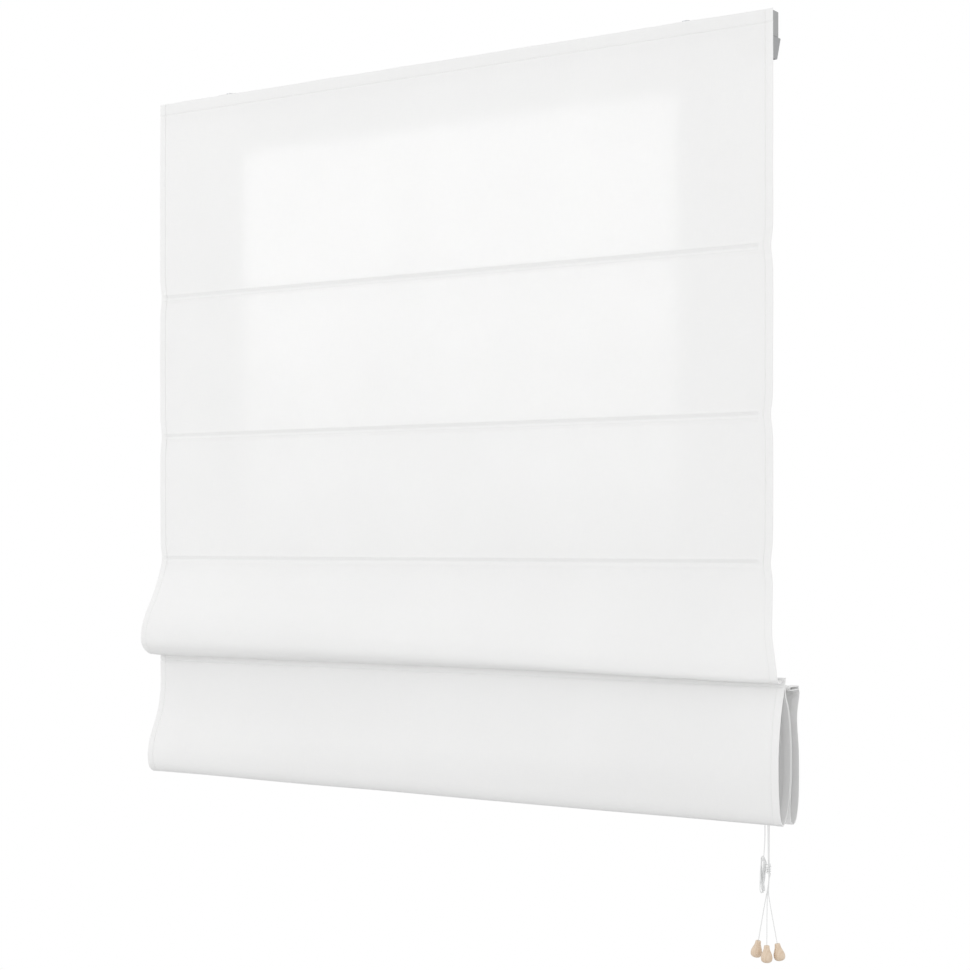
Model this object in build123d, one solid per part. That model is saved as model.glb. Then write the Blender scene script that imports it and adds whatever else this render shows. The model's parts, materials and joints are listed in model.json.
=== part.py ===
from build123d import *
import math
import os

# A corded roman blind, partly raised.  Millimetres, +Z up, the front faces -Y.
# The origin is the centre of the bracket screw pattern, on the wall plane y = 0.

# ---------------------------------------------------------------- driving sizes
BLIND_WIDTH = 1200.0          # flat cloth, side to side
FLAP_EXTRA = 10.0             # the stacked cloth is this much wider on each side
WALL_TO_CLOTH = 95.0          # wall to the front face of the cloth
CLOTH = 0.8                   # cloth thickness
SIDE_HEM = 12.0

# heights below the top edge of the cloth
SEAM_DROPS = (348.0, 596.0, 814.0)
FLAP_DROP = 983.5             # rod 4, at the top of the front flap

RAIL_TALL, RAIL_DEEP, RAIL_WALL = 37.0, 25.0, 1.4
RAIL_SHORTER = 6.0            # cloth edge to the end of the bare rail
RAIL_TOP_CHANNEL = 6.5        # height of the bracket channel
TOP_SLOT, BOTTOM_SLOT = 10.0, 14.0
CAP_THICK, CAP_PLUG = 1.5, 8.0
HEADING_ABOVE_RAIL = 0.0
HOOK_THICK, LOOP_THICK, TAPE_TALL = 1.2, 1.3, 20.0

BRACKET_X = 450.0             # brackets stand at plus and minus this
BRACKET_SHEET, BRACKET_WIDE, BRACKET_TALL = 2.5, 40.0, 50.0
SCREW_SPACING_Z, SCREW_HOLE = 30.0, 5.0
CAM_STEM, CAM_HEAD, CAM_HEAD_WIDE, CAM_THICK = 8.0, 20.0, 8.0, 2.0
CAM_DISC, CAM_LEVER, CAM_LEVER_WIDE = 14.0, 30.0, 8.0

ROD, ROD_FIT = 4.0, 0.3       # stiffening rods and their room in the sewn pocket
POCKET_NECK = 8.0             # double cloth between the face and the rod
POCKET_LEFT, POCKET_RIGHT = 7.0, 22.0   # cloth edge to the pocket's ends
ROD_INSET, TIP_LONG, TIP_WIDE = 5.0, 3.0, 4.4

RING_OUTER, RING_WIRE, RING_GAP = 12.0, 1.8, 0.05
LIFT_X = (-450.0, 0.0, 450.0)
CORD = 1.4
CORD_BEHIND_CLOTH = 23.0      # cord line behind the front face of the cloth
CORD_GAP = 0.3

WHEEL, WHEEL_GROOVE, WHEEL_WIDE, WHEEL_FLOOR = 12.0, 8.4, 3.6, 1.8
AXLE, AXLE_FIT = 2.0, 0.05
CARRIER_BASE, CHEEK, CHEEK_GAP = 1.5, 1.2, 0.3
LANE_STEP = 3.5               # spacing of the cords that run side by side

LOCK_LONG, LOCK_TALL, LOCK_WALL = 54.0, 33.0, 1.6
LOCK_DEEP_TOP, LOCK_DEEP_BOTTOM = 34.0, 22.0
LOCK_PAST_RAIL, LOCK_CORD_IN = 1.0, 15.0   # housing past the bare rail, its left end to the cords
ROLLER, ROLLER_LONG, JOURNAL, JOURNAL_FIT = 7.0, 20.0, 3.0, 0.2
ROLLER_DROP, ROLLER_TRAVEL, ROLLER_RISE = 19.5, 7.0, 60.0

BAR_WIDE, BAR_THICK, BAR_FIT = 31.0, 3.0, 0.3
BAR_SHORTER = 14.0            # flap edge to the end of the bottom bar
BEAD_WIDE, BEAD_TALL = 6.0, 5.0

HANK_DROP, HANK_LONG, HANK_WIDE = 273.0, 47.0, 12.0   # the drop is below rod 4
KNOT_TALL, KNOT_WIDE = 10.0, 9.0
PULL_CORD_Y = -21.0
ACORN_TALL, ACORN_WIDE, ACORN_NECK, ACORN_BORE, ACORN_BORE_DEEP = 26.5, 18.0, 6.4, 1.9, 12.0
ACORN_TOPS = ((-16.5, 4.0, -72.8), (3.0, -8.0, -75.8), (14.5, 4.0, -73.8))   # from the knot's foot
BAR_RING_SPAN = 9.0           # cord line to the bottom bar's front edge, past the sewn ring

# ---------------------------------------------------------------- worked out from them
CLEAR = 0.3                   # between soft pieces on different bodies
half_width = BLIND_WIDTH / 2
flap_half = half_width + FLAP_EXTRA
face_y = -WALL_TO_CLOTH
back_y = face_y + CLOTH
mid_y = face_y + CLOTH / 2
rail_front = back_y + HOOK_THICK + LOOP_THICK
rail_back = rail_front + RAIL_DEEP
rail_mid = (rail_front + rail_back) / 2
rail_top = BRACKET_TALL / 2 - BRACKET_SHEET
rail_bottom = rail_top - RAIL_TALL
rail_half = half_width - RAIL_SHORTER
cloth_top = rail_top + HEADING_ABOVE_RAIL
cord_y = face_y + CORD_BEHIND_CLOTH
channel_inner = ROD / 2 + ROD_FIT
channel_outer = channel_inner + CLOTH
pocket_x = (-half_width + POCKET_LEFT, half_width - POCKET_RIGHT)
seam_z = [cloth_top - drop for drop in SEAM_DROPS]
rod_y = back_y + POCKET_NECK + channel_outer
flap_z = cloth_top - FLAP_DROP
ring_reach = channel_outer + RING_GAP + RING_OUTER / 2
ring_hole = RING_OUTER / 2 - RING_WIRE
cord_bend = WHEEL_GROOVE / 2 + CORD_GAP + CORD / 2
lock_x = rail_half + LOCK_PAST_RAIL - LOCK_LONG
lock_cord_x = lock_x + LOCK_CORD_IN
hank_top = flap_z - HANK_DROP


def save(shape, name):
    export_step(shape, "parts/" + name + ".step")


def between_x(face, x0, x1):
    """A Y-Z outline carried along X from x0 to x1."""
    return Pos(x0, 0, 0) * extrude(Plane.YZ * face, amount=x1 - x0)


def block(x0, x1, y0, y1, z0, z1):
    return Pos((x0 + x1) / 2, (y0 + y1) / 2, (z0 + z1) / 2) * Box(x1 - x0, y1 - y0, z1 - z0)


def y_pin(radius, y0, y1, x, z):
    return Pos(x, (y0 + y1) / 2, z) * Rot(90, 0, 0) * Cylinder(radius, y1 - y0)


def area_between(y0, y1, z0, z1):
    return Pos((y0 + y1) / 2, (z0 + z1) / 2) * Rectangle(y1 - y0, z1 - z0)


def bend_radii(points):
    """The largest easy bend at each corner: 0.45 of the shorter run."""
    radii = []
    for a, b, c in zip(points, points[1:], points[2:]):
        before, after = Vector(*b) - Vector(*a), Vector(*c) - Vector(*b)
        half_turn = math.radians(before.get_angle(after)) / 2
        radii.append(0.45 * min(before.length, after.length) / math.tan(half_turn))
    return radii


def band(points, thickness):
    """A strip of cloth seen edge on: it follows the points with easy bends."""
    radii = bend_radii([(y, z, 0) for y, z in points])
    runs = [(Vector(*b) - Vector(*a)).normalized() for a, b in zip(points, points[1:])]
    normals = [Vector(-run.Y, run.X) for run in runs]
    sides = []
    for shift in (thickness / 2, -thickness / 2):
        corners = [Vector(*points[0]) + normals[0] * shift]
        side_radii = []
        for index, corner in enumerate(points[1:-1]):
            n0, n1 = normals[index], normals[index + 1]
            corners.append(Vector(*corner) + (n0 + n1) * (shift / (1 + n0.dot(n1))))
            turn = 1 if runs[index].cross(runs[index + 1]).Z > 0 else -1
            side_radii.append(radii[index] - turn * shift)
        corners.append(Vector(*points[-1]) + normals[-1] * shift)
        sides.append(FilletPolyline(*corners, radius=side_radii))
    left, right = sides
    ends = [Line(left @ 0, right @ 0), Line(left @ 1, right @ 1)]
    return make_face(left.edges() + right.edges() + ends[0].edges() + ends[1].edges())


def tube(points, radii, diameter):
    """A cord: straight runs joined by tangent arcs."""
    path = FilletPolyline(*points, radius=radii)
    start = Plane(origin=path @ 0, z_dir=path % 0)
    solid = sweep(start * Circle(diameter / 2), path=path)
    expected = path.length * math.pi * diameter ** 2 / 4
    print("cord length %.1f  volume/section %.4f  radii %s"
          % (path.length, solid.volume / expected, [round(r, 1) for r in radii]))
    return solid


# ---------------------------------------------------------------- headrail and its ends
def headrail():
    outline = area_between(rail_front, rail_back, rail_bottom, rail_top)
    inner_front, inner_back = rail_front + RAIL_WALL, rail_back - RAIL_WALL
    web_top = rail_top - RAIL_WALL - RAIL_TOP_CHANNEL
    outline -= area_between(inner_front, inner_back, web_top, rail_top - RAIL_WALL)
    outline -= area_between(inner_front, inner_back, rail_bottom + RAIL_WALL, web_top - RAIL_WALL)
    outline -= area_between(rail_mid - TOP_SLOT / 2, rail_mid + TOP_SLOT / 2, web_top, rail_top)
    outline -= area_between(slot_front, slot_back, rail_bottom, rail_bottom + RAIL_WALL)
    return between_x(outline, -rail_half, rail_half)


def end_cap(side):
    """A moulded cap whose plug fills the cord chamber's end."""
    plate = area_between(rail_front, rail_back, rail_bottom, rail_top)
    web_under = rail_top - RAIL_WALL * 2 - RAIL_TOP_CHANNEL
    plug = area_between(rail_front + RAIL_WALL + CLEAR, rail_back - RAIL_WALL - CLEAR,
                        rail_bottom + RAIL_WALL + CLEAR, web_under - CLEAR)
    plug -= offset(plug, amount=-RAIL_WALL)
    cap = fillet(between_x(plate, 0, CAP_THICK).edges().filter_by(Axis.X), 1.0)
    cap += between_x(plug, -CAP_PLUG, 0)
    cap = Pos(rail_half, 0, 0) * cap
    return cap if side > 0 else mirror(cap, about=Plane.YZ)


slot_back = cord_y + 2.0
slot_front = slot_back - BOTTOM_SLOT


def tape(y0, y1, half):
    return block(-half, half, y0, y1, rail_top - 1 - TAPE_TALL, rail_top - 1)


# ---------------------------------------------------------------- wall brackets
def bracket(x):
    sheet = BRACKET_SHEET
    outline = area_between(-sheet, 0, -BRACKET_TALL / 2, rail_top + sheet)
    outline += area_between(rail_front + 3.0, 0, rail_top, rail_top + sheet)
    solid = between_x(outline, x - BRACKET_WIDE / 2, x + BRACKET_WIDE / 2)
    outer_bend = [e for e in solid.edges().filter_by(Axis.X)
                  if abs(e.center().Y) < 0.01 and e.center().Z > rail_top]
    inner_bend = [e for e in solid.edges().filter_by(Axis.X)
                  if abs(e.center().Y + sheet) < 0.01 and abs(e.center().Z - rail_top) < 0.01]
    solid = fillet(outer_bend, sheet + 1.5)
    inner_bend = [e for e in solid.edges().filter_by(Axis.X)
                  if abs(e.center().Y + sheet) < 0.01 and abs(e.center().Z - rail_top) < 0.01]
    solid = fillet(inner_bend, 1.5)
    for z in (-SCREW_SPACING_Z / 2, SCREW_SPACING_Z / 2):
        solid -= y_pin(SCREW_HOLE / 2, -sheet - 1, 1, x, z)
    solid -= Pos(x, rail_mid, rail_top + sheet / 2) * Cylinder(CAM_STEM / 2 + 0.1, sheet * 2)
    return solid


def swivel_cam(x):
    """A turn button: lever above the arm, oblong head under the rail's lips."""
    head_top = rail_top - RAIL_WALL - CLEAR
    lever_bottom = rail_top + BRACKET_SHEET + CLEAR
    head = Pos(0, 0, head_top - CAM_THICK / 2) * Box(CAM_HEAD_WIDE, CAM_HEAD, CAM_THICK)
    head = fillet(head.edges().filter_by(Axis.Z), 2.5)
    stem = Pos(0, 0, (head_top + lever_bottom) / 2) * Cylinder(CAM_STEM / 2, lever_bottom - head_top)
    disc = Pos(0, 0, lever_bottom + CAM_THICK / 2) * Cylinder(CAM_DISC / 2, CAM_THICK)
    lever = Pos(0, CAM_LEVER / 2, lever_bottom + CAM_THICK / 2) * Box(CAM_LEVER_WIDE, CAM_LEVER, CAM_THICK)
    lever = fillet(lever.edges().filter_by(Axis.Z).group_by(Axis.Y)[-1], CAM_LEVER_WIDE / 2 - 0.2)
    return Pos(x, rail_mid, 0) * (head + stem + disc + lever)


# ---------------------------------------------------------------- cord guides in the rail
base_bottom = rail_bottom + RAIL_WALL
base_top = base_bottom + CARRIER_BASE
axle_z = base_top + 1.0 + WHEEL / 2
run_z = axle_z + cord_bend


def carrier(x):
    wheel_x = x + cord_bend
    base = block(x - 7, wheel_x + WHEEL / 2 + 6, rail_front + RAIL_WALL + 1, rail_back - RAIL_WALL - CLEAR,
                 base_bottom, base_top)
    base += block(x - 5, wheel_x + WHEEL / 2, slot_front + CLEAR, slot_back - CLEAR,
                  rail_bottom, base_bottom)
    base -= Pos(x, cord_y, base_bottom) * Cylinder(CORD / 2 + 0.8, 6)
    for side in (-1, 1):
        near = cord_y + side * (WHEEL_WIDE / 2 + CHEEK_GAP)
        far = near + side * CHEEK
        base += block(wheel_x - 4, wheel_x + 4, min(near, far), max(near, far), base_top, axle_z + 4)
    return base - y_pin(AXLE / 2, cord_y - 8, cord_y + 8, wheel_x, axle_z)


def wheel(x):
    """A grooved wheel on its axle."""
    rim, floor, bore = WHEEL / 2, WHEEL_GROOVE / 2, AXLE / 2 + AXLE_FIT
    half, land = WHEEL_WIDE / 2, 0.4
    outline = Polyline((bore, -half), (rim, -half), (rim, land - half), (floor, -WHEEL_FLOOR / 2),
                       (floor, WHEEL_FLOOR / 2), (rim, half - land), (rim, half), (bore, half), close=True)
    turned = revolve(make_face(outline), axis=Axis.Y)
    return Pos(x + cord_bend, cord_y, axle_z) * turned


def axles():
    reach = WHEEL_WIDE / 2 + CHEEK_GAP + CHEEK
    return [y_pin(AXLE / 2, cord_y - reach, cord_y + reach, x + cord_bend, axle_z) for x in LIFT_X]


# ---------------------------------------------------------------- cord lock
lock_bottom = rail_bottom - LOCK_TALL
lanes = [cord_y - 1.5 - LANE_STEP * step for step in (2, 1, 0)]
drum_x = lock_cord_x - cord_bend
roller_x = lock_cord_x + CORD / 2 + CORD_GAP + ROLLER / 2
roller_z = rail_bottom - ROLLER_DROP
ear_front = lanes[0] - CORD / 2 - 1.2
ear_back = lanes[2] + CORD / 2 + 1.2


def tapered(inset, extra):
    """The lock's side outline, open above and below when extra is more than 0."""
    slope = (LOCK_DEEP_TOP - LOCK_DEEP_BOTTOM) / LOCK_TALL
    front = rail_front + inset
    top, bottom = rail_bottom + extra, lock_bottom - extra
    back_top = rail_front + LOCK_DEEP_TOP - inset + slope * extra
    back_bottom = rail_front + LOCK_DEEP_BOTTOM - inset - slope * extra
    corners = [(front, top), (back_top, top), (back_bottom, bottom), (front, bottom)]
    return make_face(Polyline(*corners, close=True))


def lock_housing():
    x1 = lock_x + LOCK_LONG
    shell = between_x(tapered(0, 0), lock_x, x1)
    shell = fillet(shell.edges().filter_by(Axis.Z).group_by(Axis.Y)[0], 1.0)
    room = between_x(tapered(LOCK_WALL, 4), lock_x + LOCK_WALL, x1 - LOCK_WALL)
    shell -= room
    jaw = block(lock_x + LOCK_WALL - 0.5, lock_cord_x - CORD / 2 - CORD_GAP, rail_front, rail_back,
                roller_z - 10, roller_z + 8)
    shell += jaw & between_x(tapered(LOCK_WALL / 2, 0), lock_x, x1)
    for y0, y1 in ((ear_front - CHEEK, ear_front), (ear_back, ear_back + CHEEK)):
        ear = block(drum_x - 4, lock_cord_x + 4, y0, y1, roller_z + 8, axle_z + 3.5)
        shell += ear + block(lock_x + 0.5, drum_x - 4, y0, y1, roller_z + 8, rail_bottom)
    shell -= y_pin(JOURNAL / 2 + AXLE_FIT, ear_front - 3, ear_back + 3, drum_x, axle_z)
    rise = math.radians(ROLLER_RISE)
    slot = SlotCenterToCenter(ROLLER_TRAVEL, JOURNAL + 2 * JOURNAL_FIT, rotation=ROLLER_RISE)
    middle = (roller_x + ROLLER_TRAVEL / 2 * math.cos(rise), roller_z + ROLLER_TRAVEL / 2 * math.sin(rise))
    cutter = extrude(Plane.XZ * slot, amount=30, both=True)
    return shell - Pos(middle[0], rail_mid, middle[1]) * cutter


def lock_drum():
    barrel = y_pin(WHEEL_GROOVE / 2, ear_front + 0.1, ear_back - 0.1, drum_x, axle_z)
    return barrel + y_pin(JOURNAL / 2, ear_front - CHEEK, ear_back + CHEEK, drum_x, axle_z)


def lock_roller():
    """A knurled roller: its journals ride in the sloping slots of the housing."""
    front = rail_front + LOCK_WALL + 0.4
    barrel = Rot(90, 0, 0) * Cylinder(ROLLER / 2, ROLLER_LONG)
    teeth = 18
    for index in range(teeth):
        turn = Rot(0, 360 / teeth * index, 0)
        barrel -= turn * Pos(ROLLER / 2 + 0.15, 0, 0) * Rot(0, 45, 0) * Box(0.7, ROLLER_LONG + 1, 0.7)
    roller = Pos(roller_x, front + ROLLER_LONG / 2, roller_z) * barrel
    return roller + y_pin(JOURNAL / 2, rail_front + 0.2, rail_front + LOCK_DEEP_BOTTOM + 5, roller_x, roller_z)


# ---------------------------------------------------------------- cloth
def pocket(y, z, neck):
    """A sewn tuck: double cloth, then a channel round the rod."""
    face = Pos(y - channel_outer - neck / 2 + CLOTH / 4, z) * Rectangle(neck + CLOTH / 2, 2 * CLOTH)
    return face + Pos(y, z) * Circle(channel_outer) - Pos(y, z) * Circle(channel_inner)


def upper_cloth():
    bottom = seam_z[2] - CLOTH * 1.5
    cloth = block(-half_width, half_width, face_y, back_y, bottom, cloth_top)
    for side in (-1, 1):
        inner, outer = side * (half_width - SIDE_HEM), side * half_width
        cloth += block(min(inner, outer), max(inner, outer), back_y - CLOTH / 2, back_y + CLOTH,
                       bottom, cloth_top)
    for z in seam_z:
        corners = [(face_y - 0.1, z - 1.2), (face_y - 0.1, z + 1.2), (face_y + 0.5, z)]
        groove = make_face(Polyline(*corners, close=True))
        cloth -= between_x(groove, *pocket_x)
        cloth += between_x(pocket(rod_y, z, POCKET_NECK), *pocket_x)
    return cloth


flap_rod = (cord_y + ring_hole - CORD / 2 - 0.25 - ring_reach, flap_z)
second_rod = (cord_y - 7.5, flap_z - 2 * channel_outer - 0.8)
bar_mid = (cord_y + BAR_RING_SPAN + BAR_WIDE / 2, flap_z - 16.0)
bar_rear = bar_mid[0] + BAR_WIDE / 2 + BAR_FIT + CLOTH
flap_face = flap_rod[0] - channel_outer - 2.4


def bulge_cloth():
    """The section that hangs between the last flat seam and the flap, bellied forward."""
    top, low = seam_z[2] - CLOTH * 1.5 - CLEAR, flap_z - 4.0
    line = [(mid_y, top), (mid_y - 1.6, top - 27), (mid_y - 9.5, top - 74), (mid_y - 22.5, top - 118),
            (mid_y - 30.5, top - 152), (mid_y - 26, low + 3), (mid_y - 12.5, low - 0.6),
            (mid_y - 1, low + 0.6), (flap_face - CLOTH - CLEAR * 2, flap_z - 1.6)]
    return hemmed(band(line, CLOTH), band(line, CLOTH * 1.8), half_width)


def hemmed(thin, thick, half):
    """Cloth between two side hems of double thickness."""
    inner = half - SIDE_HEM
    cloth = between_x(thin, -inner, inner)
    return cloth + between_x(thick, -half, -inner) + between_x(thick, inner, half)


def stack_cloth():
    y, z = cord_y, flap_z
    front = [(flap_face, z + 1.4), (y - 12.8, z - 21), (y - 19, z - 65), (y - 30, z - 105),
             (y - 36, z - 148), (y - 33, z - 188), (y - 25, z - 214), (y - 12, z - 219),
             (y, z - 209), (y + 10, z - 183), (y + 14.5, z - 143), (y + 13, z - 93),
             (y + 4, z - 48), (y - 8, z - 23),
             (y - 8.4, second_rod[1] - channel_outer - 0.2)]
    back = [(y - 6.6, second_rod[1] - channel_outer - 0.2), (y - 6.2, z - 23), (y + 6.2, z - 48.6),
            (y + 15.4, z - 93.4), (y + 16.9, z - 143), (y + 13.4, z - 183), (y + 13, z - 204),
            (y + 20, z - 220), (y + 32, z - 218), (y + 41, z - 200), (y + 45.6, z - 172), (y + 44.5, z - 113),
            (y + 37, z - 58), (bar_rear + 0.9, z - 34), (bar_rear + 2.9, z - 24),
            (bar_rear - 0.5, bar_mid[1] - 2.2)]
    hem_in = Pos(*bar_mid) * Rectangle(BAR_WIDE + 2 * BAR_FIT, BAR_THICK + 2 * BAR_FIT)
    hem = offset(hem_in, amount=CLOTH) - hem_in
    neck = Pos(second_rod[0], second_rod[1] - channel_outer - 0.1) * Rectangle(1.8 + CLOTH, 0.9)
    channels = pocket(*flap_rod, 2.4) + (Pos(*second_rod) * Circle(channel_outer) + neck
                                         - Pos(*second_rod) * Circle(channel_inner))
    cloth = hemmed(band(front, CLOTH), band(front, CLOTH * 1.8), flap_half)
    cloth += hemmed(band(back, CLOTH), band(back, CLOTH * 1.4), flap_half)
    cloth += between_x(channels, *pocket_x)
    return cloth + between_x(hem, -flap_half, flap_half)


# ---------------------------------------------------------------- rods, rings and the bottom bar
def rod(y, z):
    x0, x1 = pocket_x[0] + ROD_INSET, pocket_x[1] - ROD_INSET
    return Pos((x0 + x1) / 2, y, z) * Rot(0, 90, 0) * Cylinder(ROD / 2, x1 - x0)


def rod_tips(places):
    tips = []
    for y, z in places:
        for x, side in ((pocket_x[0] + ROD_INSET, -1), (pocket_x[1] - ROD_INSET, 1)):
            tip = Pos(x + side * TIP_LONG / 2, y, z) * Rot(0, 90, 0) * Cylinder(TIP_WIDE / 2, TIP_LONG)
            outer = tip.edges().filter_by(GeomType.CIRCLE).sort_by(Axis.X)[-1 if side > 0 else 0]
            tips.append(fillet(outer, 1.0))
    return Compound(children=tips)


def rings(y, z):
    minor = RING_WIRE / 2
    ring = Torus(RING_OUTER / 2 - minor, minor)
    return Compound(children=[Pos(x, y, z) * ring for x in LIFT_X])


def bottom_bar():
    half = flap_half - BAR_SHORTER
    bar = between_x(Pos(*bar_mid) * Rectangle(BAR_WIDE, BAR_THICK), -half, half)
    return fillet(bar.edges().filter_by(Axis.X), 1.2)


def bar_caps():
    half = flap_half - BAR_SHORTER
    caps = []
    for side in (-1, 1):
        x0, x1 = sorted((side * half, side * (half + 4)))
        cap = between_x(Pos(*bar_mid) * Rectangle(BAR_WIDE, BAR_THICK), x0, x1)
        caps.append(fillet(cap.edges().filter_by(Axis.X), 1.2))
    return Compound(children=caps)


bar_ring_y = bar_mid[0] - BAR_WIDE / 2 - BAR_FIT - CLOTH - RING_GAP - RING_OUTER / 2
bead_top = bar_mid[1] - RING_WIRE / 2 - CLEAR


def beads():
    bead = Cylinder(BEAD_WIDE / 2, BEAD_TALL)
    bead = fillet(bead.edges().filter_by(GeomType.CIRCLE), 1.0)
    return Compound(children=[Pos(x, cord_y, bead_top - BEAD_TALL / 2) * bead for x in LIFT_X])


# ---------------------------------------------------------------- cords and pulls
def rail_cord(x, lane):
    shift = min(40.0, (lock_cord_x - x) / 4)
    points = [(x, cord_y, rail_bottom), (x, cord_y, run_z), (x + shift, cord_y, run_z),
              (x + shift * 2, lane, run_z), (lock_cord_x, lane, run_z), (lock_cord_x, lane, lock_bottom)]
    radii = bend_radii(points)
    radii[0] = cord_bend
    radii[-1] = cord_bend
    return tube(points, radii, CORD)


def lift_cord(x):
    return Pos(x, cord_y, (bead_top + rail_bottom) / 2) * Cylinder(CORD / 2, rail_bottom - bead_top)


def pull_cord(lane, spread):
    points = [(lock_cord_x, lane, lock_bottom), (lock_cord_x, lane + 1.5, lock_bottom - 60),
              (lock_cord_x + spread, PULL_CORD_Y, flap_z + 186.0),
              (lock_cord_x + spread * 0.6, PULL_CORD_Y, hank_top)]
    return tube(points, bend_radii(points), CORD)


knot_top = hank_top - HANK_LONG - 0.2
knot_bottom = knot_top - KNOT_TALL


def turned(stations, top):
    """A round body turned about +Z, from its radii at given depths below the top."""
    curve = Spline(*[(radius, -depth) for depth, radius in stations])
    (first_depth, first_radius), (last_depth, last_radius) = stations[0], stations[-1]
    corners = [(last_radius, -last_depth), (0, -last_depth), (0, -first_depth), (first_radius, -first_depth)]
    close = Polyline(*corners)
    face = make_face(curve.edges() + close.edges())
    return Pos(0, 0, top) * Rot(90, 0, 0) * revolve(face, axis=Axis.Y)


def hank():
    wide = HANK_WIDE / 2
    body = turned([(0, wide * 0.6), (HANK_LONG * 0.2, wide * 0.92), (HANK_LONG * 0.5, wide),
                   (HANK_LONG * 0.8, wide * 0.95), (HANK_LONG, wide * 0.55)], hank_top)
    return Pos(lock_cord_x, PULL_CORD_Y, 0) * body


def knot():
    wide = KNOT_WIDE / 2
    body = turned([(0, wide * 0.6), (KNOT_TALL * 0.5, wide), (KNOT_TALL, wide * 0.6)], knot_top)
    return Pos(lock_cord_x, PULL_CORD_Y, 0) * body


def acorn_line(top):
    """Where an acorn's cord leaves the knot, and the acorn's own top."""
    start = Vector(lock_cord_x + top[0] * 0.1, PULL_CORD_Y + top[1] * 0.1, knot_bottom - CORD_GAP)
    end = Vector(lock_cord_x + top[0], PULL_CORD_Y + top[1], knot_bottom + top[2])
    return start, end


def acorn_cord(top):
    start, end = acorn_line(top)
    way = (end - start).normalized()
    reach = (end - start).length + ACORN_BORE_DEEP - 1
    return Plane(origin=start, z_dir=way) * Pos(0, 0, reach / 2) * Cylinder(CORD / 2, reach)


def acorn(top):
    start, end = acorn_line(top)
    wide, tall, neck = ACORN_WIDE / 2, ACORN_TALL, ACORN_NECK / 2
    body = turned([(0, neck), (tall * 0.2, neck * 1.16), (tall * 0.5, wide * 0.77), (tall * 0.76, wide),
                   (tall * 0.93, wide * 0.82), (tall, wide * 0.4)], 0)
    body -= Pos(0, 0, -ACORN_BORE_DEEP / 2) * Cylinder(ACORN_BORE / 2, ACORN_BORE_DEEP)
    way = (start - end).normalized()
    return Plane(origin=end, z_dir=way) * body


# ---------------------------------------------------------------- write every node
os.makedirs("parts", exist_ok=True)
save(headrail(), "headrail")
for side, word in ((-1, "left"), (1, "right")):
    save(end_cap(side), "end_cap_" + word)
    save(bracket(side * BRACKET_X), "wall_bracket_" + word)
    save(swivel_cam(side * BRACKET_X), "swivel_cam_" + word)
save(tape(rail_front - HOOK_THICK, rail_front, rail_half), "hook_tape")
save(tape(back_y, rail_front - HOOK_THICK, half_width - SIDE_HEM - 0.5), "loop_tape")
for number, x in enumerate(LIFT_X, 1):
    save(carrier(x), "cord_guide_%d" % number)
    save(wheel(x), "pulley_wheel_%d" % number)
    save(rail_cord(x, lanes[number - 1]), "rail_cord_%d" % number)
    save(lift_cord(x), "lift_cord_%d" % number)
    save(pull_cord(lanes[number - 1], (number - 2) * 3.0), "pull_cord_%d" % number)
save(Compound(children=axles()), "pulley_axles")
save(lock_housing(), "lock_housing")
save(lock_drum(), "lock_drum")
save(lock_roller(), "lock_roller")
save(upper_cloth(), "upper_cloth")
save(bulge_cloth(), "bulge_cloth")
save(stack_cloth(), "stack_cloth")
upper_rods = [(rod_y, z) for z in seam_z]
stack_rods = [flap_rod, second_rod]
for number, place in enumerate(upper_rods + stack_rods, 1):
    save(rod(*place), "rod_%d" % number)
    save(rings(place[0] + ring_reach, place[1]), "rings_%d" % number)
save(rings(bar_ring_y, bar_mid[1]), "bar_rings")
save(rod_tips(upper_rods), "rod_tips_upper")
save(rod_tips(stack_rods), "rod_tips_stack")
save(bottom_bar(), "bottom_bar")
save(bar_caps(), "bar_caps")
save(beads(), "cord_beads")
save(hank(), "cord_hank")
save(knot(), "cord_knot")
for number, top in enumerate(ACORN_TOPS, 1):
    save(acorn(top), "acorn_%d" % number)
    save(acorn_cord(top), "acorn_cord_%d" % number)
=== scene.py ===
import json
import math

import bpy
from bpy.props import FloatProperty, FloatVectorProperty, IntProperty, PointerProperty
from mathutils import Matrix, Vector, noise


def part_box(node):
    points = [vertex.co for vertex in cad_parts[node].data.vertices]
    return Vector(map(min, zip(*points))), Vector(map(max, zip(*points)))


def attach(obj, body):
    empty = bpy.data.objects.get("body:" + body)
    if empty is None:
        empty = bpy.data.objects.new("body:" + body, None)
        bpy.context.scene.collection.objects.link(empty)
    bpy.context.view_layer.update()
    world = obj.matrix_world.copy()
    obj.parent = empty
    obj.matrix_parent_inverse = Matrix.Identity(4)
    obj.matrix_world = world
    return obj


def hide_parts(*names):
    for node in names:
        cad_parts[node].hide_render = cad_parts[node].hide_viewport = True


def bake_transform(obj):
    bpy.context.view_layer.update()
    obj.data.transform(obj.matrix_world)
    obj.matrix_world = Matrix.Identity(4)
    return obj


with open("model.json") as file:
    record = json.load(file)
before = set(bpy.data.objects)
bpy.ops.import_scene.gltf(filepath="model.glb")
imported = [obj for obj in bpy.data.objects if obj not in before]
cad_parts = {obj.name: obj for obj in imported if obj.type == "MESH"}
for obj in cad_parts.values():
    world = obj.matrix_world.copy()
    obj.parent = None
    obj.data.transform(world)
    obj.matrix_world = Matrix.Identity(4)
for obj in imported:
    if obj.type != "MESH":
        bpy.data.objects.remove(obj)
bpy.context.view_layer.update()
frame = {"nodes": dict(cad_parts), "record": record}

bl_info = {
    "name": "Roman blind",
    "version": (1, 0, 0),
    "blender": (4, 5, 0),
    "location": "3D View > Sidebar > Blind",
    "description": "Builds the cloth, cords, acorns and finishes of a corded roman blind round its frame",
    "category": "Object",
}

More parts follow.
